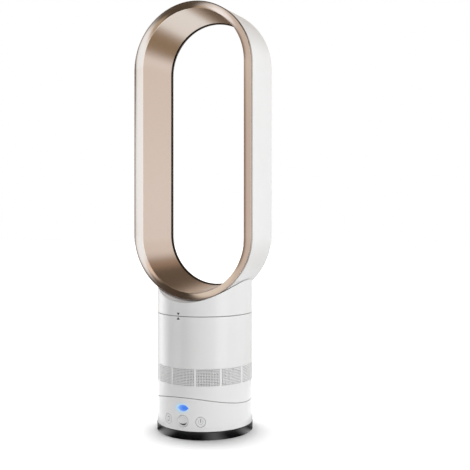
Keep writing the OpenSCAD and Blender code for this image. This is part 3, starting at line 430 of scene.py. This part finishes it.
def sweepLoop(bm, longer=0):
    # the section starts at the right, goes up, over the top, down the left and under the bottom
    low, top = loop["lowZ"] - longer, loop["topZ"] + longer
    for vert in bm.verts:
        vert.co.z += low
    verts, edges = bm.verts[:], bm.edges[:]
    rise = (top - low) / loop["straightSteps"]
    for centre, step in ((top, rise), (low, -rise)):
        for _ in range(loop["straightSteps"]):
            verts, edges = splitKinds(bmesh.ops.extrude_edge_only(bm, edges=edges)["geom"])
            bmesh.ops.translate(bm, verts=verts, vec=(0, 0, step))
        turned = bmesh.ops.spin(bm, geom=verts + edges, cent=(0, 0, centre), axis=(0, -1, 0),
                                angle=math.pi, steps=loop["arcSteps"])
        verts, edges = splitKinds(turned["geom_last"])
    bmesh.ops.remove_doubles(bm, verts=bm.verts[:], dist=mergeWithin)


def stretchToLiner(bm, outerR, innerR):
    # the inner outline's arcs stand further out than the outer outline's, so the section spreads between them
    middle = (loop["lowZ"] + loop["topZ"]) / 2
    half = (loop["topZ"] - loop["lowZ"]) / 2
    for vert in bm.verts:
        up = vert.co.z - middle
        out = math.hypot(vert.co.x, max(0, abs(up) - half))
        share = min(1, max(0, (outerR - out) / (outerR - innerR)))
        vert.co.z += loop["shift"] * share * max(-1, min(1, up / half))


def buildShell():
    outer, inner, rear = loop["outerR"], loop["linerRearR"] + loop["linerWall"], loop["rear"]
    wall, front, turn = loop["wall"], loop["front"], loop["rearRound"]
    bm = drawSection([(outer, front), (outer, rear), (inner, rear), (inner, rear - wall),
                      (outer - wall, rear - wall), (outer - wall, front)],
                     {1: (turn, 12), 4: (turn - wall, 12), 2: (loop["innerRound"], 3)}, "Y")
    sweepLoop(bm)
    stretchToLiner(bm, outer - turn, inner)
    finishPiece("loopShell", bm, "loop", "white_shell", ["loop_shell"])


def buildLiner():
    wide, narrow, wall = loop["rimInnerR"], loop["linerRearR"], loop["linerWall"]
    nose, front, bulge = loop["nose"], loop["front"], loop["bulge"]
    bm = drawSection([(wide, front), (narrow, nose), (narrow + 2 * bulge, nose),
                      (narrow + 2 * bulge, nose - bulge), (narrow + wall, nose - 2 * bulge),
                      (wide + wall, front)], dict.fromkeys((1, 2), (loop["noseRound"], 6)), "Y")
    sweepLoop(bm, loop["shift"])
    finishPiece("loopLiner", bm, "loop", "liner_rose", ["loop_liner"])


def buildRim():
    outer, inner, front, back = loop["rimOuterR"], loop["rimInnerR"], loop["rimFront"], loop["front"]
    crownR, crownAt = loop["crownR"], loop["crownAt"]
    bm = drawSection([(outer, back), (outer, front), (inner, front), (inner, back)],
                     dict.fromkeys((1, 2), (loop["rimEdge"], 3)), "Y")
    face = [edge for edge in bm.edges if all(abs(v.co.y - front) < hairline for v in edge.verts)]
    bmesh.ops.subdivide_edges(bm, edges=face, cuts=loop["rimCuts"])
    level = math.sqrt(crownR ** 2 - (crownAt - outer) ** 2)
    for vert in bm.verts:
        if vert.co.y < front + 2 * loop["rimEdge"]:
            vert.co.y += level - math.sqrt(crownR ** 2 - (crownAt - vert.co.x) ** 2)
    sweepLoop(bm)
    stretchToLiner(bm, outer, inner)
    finishPiece("frontRim", bm, "loop", "rim_gold", ["front_rim"])


def buildBead():
    outer, inner, front, back = loop["outerR"], loop["rimOuterR"], loop["rimFront"], loop["front"]
    front += loop["beadSunk"]
    bm = drawSection([(inner, front), (outer, front), (outer, back), (inner, back)],
                     {0: (loop["beadInnerEdge"], 3), 1: (loop["beadOuterEdge"], 4)}, "Y")
    sweepLoop(bm)
    finishPiece("edgeBead", bm, "loop", "edge_dark", ["edge_bead"])


def buildLip():
    # its front and flange, down in the slot, are painted near-black as the slot's shade, and its rear ring is
    # white as the shell
    inner, rear, split, front = loop["lipR"], loop["rear"], loop["lipSplit"], loop["lipFront"]
    outer, back = inner + loop["lipWall"], rear - loop["wall"]
    flange = loop["linerRearR"] + loop["linerWall"]
    bm = drawSection([(inner, front), (outer, front), (outer, back), (flange, back), (flange, split),
                      (inner, split)], dict.fromkeys((0, 1), (loop["lipEdge"], 3)), "Y")
    sweepLoop(bm, loop["shift"])
    finishPiece("slotLip", bm, "loop", "lip_dark", ["slot_lip"])
    bm = drawSection([(inner, split), (flange, split), (flange, rear), (inner, rear)],
                     {3: (loop["lipRearEdge"], 5)}, "Y")
    sweepLoop(bm, loop["shift"])
    finishPiece("slotLipEdge", bm, "loop", "white_shell", ["slot_lip"])


for build in (buildShell, buildLiner, buildRim, buildBead, buildLip):
    build()
print("loop: shell, liner, rim, bead and lip built")

body = {
    "outerR": 72, "innerR": 69.5, "steps": 160, "edge": 0.45, "edgeSteps": 4,
    "collarTop": 77.3, "collarCut": 212.3, "tiltZ": 260.461,
    "shellLow": 102.7, "shellTop": 177.2,
    "neckLow": 178.1, "roof": 2.2, "roofRings": 14, "saddleZ": 295.7, "saddleR": 98.3, "saddleEdge": 0.9,
}
ledge = {"innerR": 63, "outerR": 69.6, "low": 126, "top": 129, "round": 0.4}
foot = {
    "outerR": 72.5, "innerR": 69.5, "low": 0.3, "top": 12, "lowRound": 0.6, "topRound": 0.7,
    "ledgeR": 61, "ledgeLow": 3.7, "ledgeTop": 5.2,
}


def drawTube(inner, outer, low, top, rounds):
    bm = drawSection([(inner, low), (outer, low), (outer, top), (inner, top)], rounds)
    spinRound(bm, body["steps"])
    return bm


def drawWall(low, top):
    # a round wall of the body, with its outer edges rounded
    edges = dict.fromkeys((1, 2), (body["edge"], body["edgeSteps"]))
    return drawTube(body["innerR"], body["outerR"], low, top, edges)


def buildCollar():
    top = body["collarTop"]
    bm = drawWall(0, top)
    for vert in bm.verts:
        if vert.co.z < top / 2:  # the lower edge follows the tilt curve
            vert.co.z += body["tiltZ"] - math.sqrt(body["collarCut"] ** 2 - vert.co.y ** 2)
    finishPiece("bodyCollar", bm, "upper_body", "white_shell", ["body_collar"])


def buildBodyShell():
    bm = drawWall(body["shellLow"], body["shellTop"])
    shelf = drawTube(ledge["innerR"], ledge["outerR"], ledge["low"], ledge["top"], {0: (ledge["round"], 3)})
    spare = bpy.data.meshes.new("shellLedge")
    shelf.to_mesh(spare)
    shelf.free()
    bm.from_mesh(spare)
    bpy.data.meshes.remove(spare)
    finishPiece("bodyShell", bm, "upper_body", "white_shell", ["body_shell"])


def buildNeck():
    outer, inner, low, roof = body["outerR"], body["innerR"], body["neckLow"], body["roof"]
    top = 400  # drawn flat at this height, then laid over the saddle
    middle = (low + top) / 2
    bm = bmesh.new()
    corners = [bm.verts.new(co) for co in ((outer, 0, low), (outer, 0, top), (0, 0, top), (0, 0, top - roof),
                                           (inner, 0, top - roof), (inner, 0, low))]
    for first, second in zip(corners, corners[1:] + corners[:1]):
        if (first, second) != (corners[2], corners[3]):
            bm.edges.new((first, second))
    face = [edge for edge in bm.edges if all(v.co.z > middle for v in edge.verts)]
    bmesh.ops.subdivide_edges(bm, edges=face, cuts=body["roofRings"])
    spinRound(bm, body["steps"])
    for height, offset in ((low, body["edge"]), (top, body["saddleEdge"])):
        corner = Vector((outer, height))
        ring = [edge for edge in bm.edges
                if all((Vector((math.hypot(v.co.x, v.co.y), v.co.z)) - corner).length < hairline
                       for v in edge.verts)]
        bmesh.ops.bevel(bm, geom=ring, offset=offset, offset_type="OFFSET", affect="EDGES",
                        segments=body["edgeSteps"], profile=0.5, material=-1)
    for vert in bm.verts:
        if vert.co.z > middle:
            vert.co.z += body["saddleZ"] - math.sqrt(body["saddleR"] ** 2 - vert.co.x ** 2) - top
    finishPiece("loopNeck", bm, "loop", "white_shell", ["neck"])


def buildFootRing():
    outer, inner, low, top = foot["outerR"], foot["innerR"], foot["low"], foot["top"]
    bm = drawSection([(inner, low), (outer, low), (outer, top), (inner, top), (inner, foot["ledgeTop"]),
                      (foot["ledgeR"], foot["ledgeTop"]), (foot["ledgeR"], foot["ledgeLow"]),
                      (inner, foot["ledgeLow"])], {1: (foot["lowRound"], 3), 2: (foot["topRound"], 5)})
    spinRound(bm, body["steps"])
    finishPiece("footRing", bm, "foot", "foot_black", ["foot_ring"])


for build in (buildCollar, buildBodyShell, buildNeck, buildFootRing):
    build()
print("body: collar, shell, neck and foot ring built")

grille = {
    "panels": 12, "columns": 15, "rows": 11, "low": 77.3, "high": 102.7, "rib": 3, "margin": 0.35,
    "hole": 0.84, "inset": 0.4,
}


def spacing(start, end, border, count):
    pitch = (end - start - 2 * border) / count
    return [start] + [start + border + i * pitch for i in range(count + 1)] + [end]


def buildGrille():
    outer, panels = body["outerR"], grille["panels"]
    half = math.pi * outer / panels
    across = spacing(-half, half, grille["rib"] / 2, grille["columns"])
    upward = spacing(grille["low"], grille["high"], grille["margin"], grille["rows"])

    def findCells():
        middles = [(face, face.calc_center_median()) for face in bm.faces]
        return [face for face, middle in middles if across[1] < middle.x < across[-2]
                and upward[1] < middle.z < upward[-2]]

    bm = bmesh.new()
    bmesh.ops.create_grid(bm, x_segments=len(across) - 1, y_segments=len(upward) - 1, size=1)
    for vert in bm.verts:
        column = round((vert.co.x + 1) / 2 * (len(across) - 1))
        row = round((vert.co.y + 1) / 2 * (len(upward) - 1))
        vert.co = (across[column], 0, upward[row])
    bmesh.ops.subdivide_edges(bm, edges=list({edge for face in findCells() for edge in face.edges}), cuts=1,
                              use_grid_fill=False)
    cells = findCells()
    bmesh.ops.inset_individual(bm, faces=cells, thickness=grille["inset"], use_even_offset=False)
    for face in cells:
        middle = face.calc_center_median()
        for vert in face.verts:
            vert.co = middle + (vert.co - middle).normalized() * grille["hole"]
    bmesh.ops.delete(bm, geom=cells, context="FACES")
    for vert in bm.verts:  # wrapped round the body
        angle = vert.co.x / outer
        vert.co.x, vert.co.y = outer * math.sin(angle), -outer * math.cos(angle)
    bmesh.ops.spin(bm, geom=bm.verts[:] + bm.edges[:] + bm.faces[:], cent=(0, 0, 0), axis=(0, 0, 1),
                   angle=math.tau * (panels - 1) / panels, steps=panels - 1, use_duplicate=True)
    bmesh.ops.remove_doubles(bm, verts=bm.verts[:], dist=hairline)
    bmesh.ops.recalc_face_normals(bm, faces=bm.faces[:])
    bmesh.ops.solidify(bm, geom=bm.faces[:], thickness=outer - body["innerR"])
    finishPiece("intakeGrille", bm, "upper_body", "white_grille", ["intake_grille"], weighted=False)


buildGrille()
print("grille: built")

controls = {"z": 26.5, "turn": 21.5, "steps": 64, "plateThick": 0.12}
button = {
    "capR": 6.95, "capTop": 72.05, "capRound": 0.4, "capRings": 10, "dish": 0.5, "dishR": 6.5,
    "flangeR": 9, "flangeLow": 67.21, "flangeTop": 68.81, "stemR": 2, "stemLow": 65.7,
}
dial = {
    "outerR": 8.25, "top": 72.4, "low": 66.9, "topRound": 0.3, "lipRound": 0.25,
    "shaftR": 3, "shaftLow": 63.2,
    "bowlR": 7.2, "bowlTop": 72, "bowl": 0.75, "bowlLip": 0.5, "bowlRings": 21,
    # the finger dent in the dial's bowl, and the painted shade laid in it
    "dentR": 6.45, "dentWidth": 2.3, "dentDepth": 1.6, "dentSlope": 1.6, "dentAt": -82, "dentSpread": 1.2,
    "paintedShadeFit": 0.02, "paintedShadeLift": 0.15, "paintedShadeSteps": 40, "paintedShadeMerge": 0.03,
}
signs = {
    "lift": 0.05, "steps": 28,
    "powerRing": {"radius": 3.4, "width": 0.5, "start": 128, "sweep": 284},
    "stroke": ((-0.5, -0.8), (0.5, -0.8), (0.5, 4.7), (-0.5, 4.7)), "strokeCuts": 3,
    "swingArc": {"radius": 2.9, "width": 0.6, "start": -95, "sweep": 190}, "arrow": 1.9,
}
marks = {"outerR": 72.02, "turn": -6.2, "half": 2.6, "reach": 2, "cuts": 5, "loopZ": 180.7, "bodyZ": 174.6}


def ontoBody(turn, height):
    # a drawing seen from outside goes on the body: right, up and outwards
    angle = math.radians(turn)
    return Matrix(((math.cos(angle), 0, math.sin(angle), 0), (math.sin(angle), 0, -math.cos(angle), 0),
                   (0, 1, 0, height), (0, 0, 0, 1)))


def bodyDrop(x):
    return body["outerR"] - math.sqrt(body["outerR"] ** 2 - x ** 2)


def capFace(x, y):
    share = min(1, math.hypot(x, y) / button["dishR"])
    return button["capTop"] - button["dish"] * (1 - share ** 2) - bodyDrop(x)


def dentShare(x, y):
    away = math.remainder(math.atan2(y, x) - math.radians(dial["dentAt"]), math.tau)
    return max(0, math.cos(max(-math.pi / 2, min(math.pi / 2, away * dial["dentSpread"]))))


def dialFace(x, y):
    out = math.hypot(x, y)
    bowl = dial["bowlTop"] - dial["bowl"] * (1 - (out / dial["bowlR"]) ** 2)
    if out > dial["dentR"] + hairline:
        return bowl
    inside = max(0, 1 - (dial["dentR"] - out) / (dial["dentSlope"] * dial["dentWidth"]))
    return bowl - dial["dentDepth"] * dentShare(x, y) * inside


def addRings(bm, height, rings):
    # cuts the longest edge at that height, which spins into a face
    level = [edge for edge in bm.edges if all(abs(v.co.z - height) < hairline for v in edge.verts)]
    bmesh.ops.subdivide_edges(bm, edges=[max(level, key=lambda edge: edge.calc_length())], cuts=rings)


def buildPushButton(name, turn, node):
    capR, capTop, flangeR, flangeLow, flangeTop, stemR, stemLow = (
        button[key] for key in ("capR", "capTop", "flangeR", "flangeLow", "flangeTop", "stemR", "stemLow"))
    bm = drawSection([(0, stemLow), (stemR, stemLow), (stemR, flangeLow), (flangeR, flangeLow),
                      (flangeR, flangeTop), (capR, flangeTop), (capR, capTop), (0, capTop)],
                     {6: (button["capRound"], 5)})
    addRings(bm, capTop, button["capRings"])
    spinRound(bm, controls["steps"])
    for vert in bm.verts:
        if vert.co.z > (flangeTop + capTop) / 2:
            vert.co.z += capFace(vert.co.x, vert.co.y) - capTop
    bm.transform(ontoBody(turn, controls["z"]))
    finishPiece(name, bm, node, "white_buttons", [node])


def buildDial():
    outer, top, low, bowlR, bowlTop = (dial[key] for key in ("outerR", "top", "low", "bowlR", "bowlTop"))
    shaftR, shaftLow = dial["shaftR"], dial["shaftLow"]
    bm = drawSection([(0, shaftLow), (shaftR, shaftLow), (shaftR, low), (outer, low), (outer, top),
                      (bowlR + dial["bowlLip"], top), (bowlR, bowlTop), (0, bowlTop)],
                     {4: (dial["topRound"], 4), 5: (dial["lipRound"], 3)})
    addRings(bm, bowlTop, dial["bowlRings"])
    spinRound(bm, controls["steps"])
    for vert in bm.verts:
        if abs(vert.co.z - bowlTop) < hairline and math.hypot(vert.co.x, vert.co.y) < bowlR - hairline:
            vert.co.z = dialFace(vert.co.x, vert.co.y)
    bm.transform(ontoBody(0, controls["z"]))
    finishPiece("speedDial", bm, "speed_dial", "white_buttons", ["speed_dial"])


def buildDialPaintedShade():
    # painted shade: a dark crescent in the dial's dent, where the dent's deep edge is in shade, narrowing to
    # nothing at its ends
    bm = bmesh.new()
    reach = math.pi / dial["dentSpread"]
    start = math.radians(dial["dentAt"]) - reach / 2
    outer, width = dial["dentR"], dial["dentWidth"]
    strip = [bm.verts.new((r * math.cos(start), r * math.sin(start), 0))
             for r in (outer - width, outer - width / 2, outer - dial["paintedShadeFit"])]
    edges = [bm.edges.new(strip[:2]), bm.edges.new(strip[1:])]
    bmesh.ops.spin(bm, geom=strip + edges, cent=(0, 0, 0), axis=(0, 0, 1), angle=reach,
                   steps=dial["paintedShadeSteps"])
    for vert in bm.verts:
        out = math.hypot(vert.co.x, vert.co.y)
        kept = outer - dial["paintedShadeFit"] - (outer - out) * dentShare(vert.co.x, vert.co.y)
        vert.co.x, vert.co.y = vert.co.x * kept / out, vert.co.y * kept / out
        vert.co.z = dialFace(vert.co.x, vert.co.y) + dial["paintedShadeLift"]
    bmesh.ops.remove_doubles(bm, verts=bm.verts[:], dist=dial["paintedShadeMerge"])
    layPlate(bm, ontoBody(0, controls["z"]))
    finishPiece("dialPaintedShade", bm, "speed_dial", "component_black")


def layPlate(bm, place):
    # a thin plate from faces drawn outwards
    for face in bm.faces:
        face.normal_update()
        if face.normal.z < 0:
            face.normal_flip()
    bmesh.ops.solidify(bm, geom=bm.faces[:], thickness=controls["plateThick"])
    bm.transform(place)


def drawArc(bm, radius, width, start, sweep):
    angle = math.radians(start)
    ends = [bm.verts.new((r * math.cos(angle), r * math.sin(angle), 0))
            for r in (radius - width / 2, radius + width / 2)]
    bmesh.ops.spin(bm, geom=ends + [bm.edges.new(ends)], cent=(0, 0, 0), axis=(0, 0, 1),
                   angle=math.radians(sweep), steps=signs["steps"])


def drawFlat(bm, corners, cuts=0):
    face = bm.faces.new([bm.verts.new((x, y, 0)) for x, y in corners])
    if cuts:
        bmesh.ops.subdivide_edges(bm, edges=face.edges[:], cuts=cuts, use_grid_fill=True)


def drawArrow(bm, radius, angle, size, forward):
    # arrow head across the end of an arc
    turn = Matrix.Rotation(math.radians(angle), 4, "Z")
    drawFlat(bm, [tuple((turn @ Vector(point)).xy) for point in
                  ((radius - size / 2, 0, 0), (radius + size / 2, 0, 0), (radius, forward * size, 0))])


def buildSigns():
    ring, stroke, swing = bmesh.new(), bmesh.new(), bmesh.new()
    drawArc(ring, **signs["powerRing"])
    drawFlat(stroke, signs["stroke"], signs["strokeCuts"])
    arc = signs["swingArc"]
    drawArc(swing, **arc)
    for side in (1, -1):
        drawArrow(swing, arc["radius"], side * arc["sweep"] / 2, signs["arrow"], side)
    for name, bm, side, node, slot in (("powerRing", ring, 1, "power_button", "duct_grey"),
                                       ("powerStroke", stroke, 1, "power_button", "bucket_grey"),
                                       ("swingSign", swing, -1, "swing_button", "bucket_grey")):
        for vert in bm.verts:
            vert.co.z = capFace(vert.co.x, vert.co.y) + signs["lift"]
        layPlate(bm, ontoBody(side * controls["turn"], controls["z"]))
        finishPiece(name, bm, node, slot)


def buildSeamMarks():
    # two small arrows that meet where the loop is locked on
    half, reach = marks["half"], marks["reach"]
    for name, point, height, carrier in (("loopMark", -reach, marks["loopZ"], "loop"),
                                         ("bodyMark", reach, marks["bodyZ"], "upper_body")):
        bm = bmesh.new()
        drawFlat(bm, ((-half, -point), (half, -point), (0, point)), marks["cuts"])
        for vert in bm.verts:
            vert.co.z = marks["outerR"] - bodyDrop(vert.co.x)
        layPlate(bm, ontoBody(marks["turn"], height))
        finishPiece(name, bm, carrier, "component_black")


def buildLens():
    wide, high, front = lens["width"], lens["height"], lens["front"]
    arcR = (wide ** 2 + high ** 2) / 4 / high
    middle = arcR - high / 2
    arcR -= lens["fit"]
    half = math.acos(middle / arcR)
    bm = bmesh.new()
    for side in (-1, 1):
        tip = bm.verts.new((-arcR * math.sin(half), 0, lens["back"]))
        bmesh.ops.spin(bm, geom=[tip], cent=(0, side * middle, 0), axis=(0, 0, side), angle=2 * half,
                       steps=lens["steps"])
    bmesh.ops.remove_doubles(bm, verts=bm.verts[:], dist=hairline)
    edges = bm.edges[:]
    bmesh.ops.edgeloop_fill(bm, edges=edges)
    outline = [vert.co.copy() for vert in bm.verts]
    for share, low in [(1, lens["edge"])] + [(share, 0) for share in lens["rings"]]:
        verts, edges = splitKinds(bmesh.ops.extrude_edge_only(bm, edges=edges)["geom"])
        for vert in verts:
            near = min(outline, key=lambda co: (co.xy.normalized() - vert.co.xy.normalized()).length)
            vert.co.x, vert.co.y = near.x * share, near.y * share
            vert.co.z = math.sqrt(front ** 2 - vert.co.x ** 2) - low
    bmesh.ops.edgeloop_fill(bm, edges=edges)
    bm.transform(ontoBody(0, lens["z"]))
    finishPiece("indicatorLens", bm, "control_base", "lens_blue", ["indicator_lens"])


buildPushButton("swingButton", -controls["turn"], "swing_button")
buildPushButton("powerButton", controls["turn"], "power_button")
for build in (buildDial, buildDialPaintedShade, buildSigns, buildSeamMarks, buildLens):
    build()
print("controls: buttons, dial, signs, marks and lens built")

studio = {
    "fill": 0.56, "aim": (0, 0, 0.3),
    "softboxes": {
        "left": {"place": (-0.92, 0.2, 0.42), "size": (0.7, 1.1), "power": 7.0},
        "right": {"place": (0.95, -0.3, 0.45), "size": (0.7, 1.1), "power": 4.6},
        "top": {"place": (0.6, 0.3, 1.4), "size": (0.9, 0.9), "power": 2.0},
    },
    # what polished metal sees, in degrees: from the front towards +X, and up from level
    "falls": ((3, 16, (0.62, 0.52, 0.43)), (18, 34, (0.14, 0.105, 0.075)), (-2, -27, (0.42, 0.33, 0.24))),
    "cards": {
        "frontWhite": {"at": (1, 5), "half": (13, 9), "soft": (5, 4), "tone": (1.0, 1.09, 1.16)},
        "frontLow": {"at": (-6, -19), "half": (13, 10), "soft": (5, 5), "tone": (0.46, 0.37, 0.26)},
        "leftWarm": {"at": (-50, 4.5), "half": (15, 8.5), "soft": (5, 2.5), "tone": (0.63, 0.55, 0.49)},
        "leftDark": {"at": (-62.5, -3), "half": (7.5, 15), "soft": (4, 3), "tone": (0.25, 0.19, 0.15)},
        "leftHigh": {"at": (-47, 24), "half": (13, 13), "soft": (5, 5), "tone": (0.78, 0.72, 0.64)},
        "frontDark": {"at": (-24, 0), "half": (8.7, 100), "soft": (4, 2), "tone": (0.055, 0.04, 0.028)},
        "frontDarkLow": {"at": (-13, -31), "half": (9, 10), "soft": (4, 5), "tone": (0.055, 0.04, 0.028)},
        "frontDeep": {"at": (-20, -18), "half": (10, 14), "soft": (3.5, 4), "tone": (0.085, 0.065, 0.045)},
        "leftLow": {"at": (-48, -14.5), "half": (8, 6), "soft": (4, 4), "tone": (1.05, 1.08, 1.12)},
        "frontWarm": {"at": (-2, 17), "half": (6, 5.5), "soft": (3.5, 3.5), "tone": (0.92, 0.76, 0.64)},
        "frontDarkLeft": {"at": (-17, 16), "half": (4.5, 9), "soft": (2.5, 3), "tone": (0.07, 0.05, 0.035)},
        "frontDarkHigh": {"at": (-14, 27), "half": (9, 13), "soft": (4, 4), "tone": (0.07, 0.05, 0.035)},
        "rightStrip": {"at": (66, 5), "half": (14, 45), "soft": (4, 10), "tone": (2.1, 2.1, 2.1)},
        "leftStrip": {"at": (-96, 5), "half": (17, 45), "soft": (12, 10), "tone": (2.5, 2.5, 2.5)},
        "backWarm": {"at": (155, 29), "half": (9, 4), "soft": (7, 4), "tone": (0.43, 0.31, 0.22)},
        "backLight": {"at": (150, 13.5), "half": (16, 9.5), "soft": (6, 6), "tone": (0.95, 0.93, 0.9)},
        "backLow": {"at": (146, -22), "half": (9, 12), "soft": (5, 8), "tone": (0.33, 0.25, 0.16)},
        "backSheet": {"at": (183.5, -38), "half": (23.5, 16), "soft": (6, 8), "tone": (1.05, 1.12, 1.15)},
        "backDark": {"at": (-146, -6), "half": (11, 11.5), "soft": (4, 5), "tone": (0.19, 0.14, 0.1)},
    },
}
paper = {
    "size": 6, "tone": 0.78, "roughness": 0.9, "shine": 0.1,
    # painted light: the camera sees it brighten away from this middle, between two distances and by how much,
    # so painted shade darkens the foot's shadow and stretches it towards the camera
    "middle": (0.0125, -0.025, 0), "near": (0.05, 0.108, 0.41), "far": (0.12, 0.34, 0.6),
    # painted reflections: near the foot, reflections alone see a near-black paper with bright strips at these
    # turns round it, then white paper, then the studio's cards
    "footTone": 0.015,
    "strips": {
        "left": {"at": -38, "half": 12, "soft": 9, "tone": 1.9},
        "middle": {"at": 40, "half": 10, "soft": 11, "tone": 1.9},
        "right": {"at": 92, "half": 9, "soft": 9, "tone": 1.8},
        "leftEnd": {"at": -84, "half": 18, "soft": 8, "tone": 0.45},
        "rightEnd": {"at": 128, "half": 16, "soft": 8, "tone": 0.25},
    },
    "white": 1.7, "whiteFrom": (0.112, 0.135), "cardsFrom": (0.3, 0.5),
}


def addTurn(tree, parts):
    # degrees round the upright axis, from the front towards +X
    front = addMath(tree, "MULTIPLY", parts.outputs["Y"], -1)
    return addMath(tree, "DEGREES", addMath(tree, "ARCTAN2", parts.outputs["X"], front))


def addMixShader(tree, share, first, second):
    mix = addNode(tree, "MixShader")
    for source, socket in zip((share, first.outputs[0], second.outputs[0]), mix.inputs):
        tree.links.new(source, socket)
    return mix


def lightWorld():
    world = bpy.data.worlds.new("studio")
    bpy.context.scene.world = world
    world.use_nodes = True
    tree = world.node_tree
    tree.nodes.clear()
    fill = addNode(tree, "Background", Strength=studio["fill"], Color=(1, 1, 1, 1))
    plain = addNode(tree, "Background", Strength=1, Color=(1, 1, 1, 1))
    mirrored = addNode(tree, "Background", Strength=1)
    rays = addNode(tree, "LightPath")
    parts = addNode(tree, "SeparateXYZ")
    tree.links.new(addNode(tree, "TexCoord").outputs["Generated"], parts.inputs[0])
    turn = addTurn(tree, parts)
    rise = addMath(tree, "DEGREES", addMath(tree, "ARCSINE", parts.outputs["Z"]))
    colour = (1, 1, 1)
    for start, end, tone in studio["falls"]:
        colour = addTint(tree, addRamp(tree, rise, start, end), colour, tone)
    for card in studio["cards"].values():
        masks = []
        for angle, at, half, soft in zip((turn, rise), card["at"], card["half"], card["soft"]):
            apart = addMath(tree, "WRAP", addMath(tree, "SUBTRACT", angle, at), 180, -180)
            masks.append(addRamp(tree, addMath(tree, "ABSOLUTE", apart), half + soft, half - soft))
        colour = addTint(tree, addMath(tree, "MULTIPLY", *masks), colour, card["tone"])
    tree.links.new(colour, mirrored.inputs["Color"])
    lit = addMixShader(tree, rays.outputs["Is Glossy Ray"], fill, mirrored)
    seen = addMath(tree, "MAXIMUM", rays.outputs["Is Camera Ray"], rays.outputs["Is Transmission Ray"])
    tree.links.new(addMixShader(tree, seen, lit, plain).outputs[0],
                   addNode(tree, "OutputWorld").inputs["Surface"])


def addSoftbox(name, place, size, power):
    lamp = bpy.data.lights.new(name, "AREA")
    lamp.shape = "RECTANGLE"
    lamp.size, lamp.size_y = size
    lamp.energy = power
    box = bpy.data.objects.new(name, lamp)
    box.location = place
    aim = Vector(studio["aim"]) - Vector(place)
    box.rotation_euler = aim.to_track_quat("-Z", "Y").to_euler()
    box.visible_camera = box.visible_glossy = False
    bpy.context.scene.collection.objects.link(box)


def addDistance(tree, place, middle=(0, 0, 0)):
    apart = addNode(tree, "VectorMath", operation="DISTANCE")
    tree.links.new(place, apart.inputs[0])
    apart.inputs[1].default_value = middle
    return apart.outputs["Value"]


def makePaper():
    material = bpy.data.materials.new("floorPaper")
    material.use_nodes = True
    tree = material.node_tree
    link = tree.links.new
    shader = tree.nodes["Principled BSDF"]
    setSockets(shader, Base_Color=(*(paper["tone"],) * 3, 1), Roughness=paper["roughness"],
               Specular_IOR_Level=paper["shine"], Emission_Color=(1, 1, 1, 1))
    rays = addNode(tree, "LightPath")
    place = addNode(tree, "TexCoord").outputs["Object"]
    reach = addDistance(tree, place, paper["middle"])
    # painted light for the camera alone, growing away from the middle, so painted shade stays round the foot
    lift = 0.0
    for start, end, height in (paper["near"], paper["far"]):
        lift = addMath(tree, "MULTIPLY_ADD", addRamp(tree, reach, start, end), height, lift)
    link(addMath(tree, "MULTIPLY", rays.outputs["Is Camera Ray"], lift), shader.inputs["Emission Strength"])
    parts = addNode(tree, "SeparateXYZ")
    link(place, parts.inputs[0])
    turn = addTurn(tree, parts)
    away = addDistance(tree, place)
    # painted reflections: what the foot's reflections see of the paper
    tone = (paper["footTone"],) * 3
    for strip in paper["strips"].values():
        half, soft = strip["half"], strip["soft"]
        apart = addMath(tree, "ABSOLUTE", addMath(tree, "SUBTRACT", turn, strip["at"]))
        tone = addTint(tree, addRamp(tree, apart, half + soft, half - soft), tone, (strip["tone"],) * 3)
    tone = addTint(tree, addRamp(tree, away, *paper["whiteFrom"]), tone, (paper["white"],) * 3)
    mirrored = addNode(tree, "Emission")
    link(tone, mirrored.inputs["Color"])
    passed = addMixShader(tree, addRamp(tree, away, *paper["cardsFrom"]), mirrored,
                          addNode(tree, "BsdfTransparent"))
    link(addMixShader(tree, rays.outputs["Is Glossy Ray"], shader, passed).outputs[0],
         tree.nodes["Material Output"].inputs["Surface"])
    return material


def layFloor():
    bm = bmesh.new()
    bmesh.ops.create_grid(bm, x_segments=1, y_segments=1, size=paper["size"])
    mesh = bpy.data.meshes.new("floor")
    bm.to_mesh(mesh)
    bm.free()
    mesh.materials.append(makePaper())
    floor = bpy.data.objects.new("floor", mesh)
    bpy.context.scene.collection.objects.link(floor)


lightWorld()
for side, values in studio["softboxes"].items():
    addSoftbox(side + "Softbox", **values)
layFloor()
bpy.context.scene.view_settings.view_transform = "Standard"
print("studio: lit")
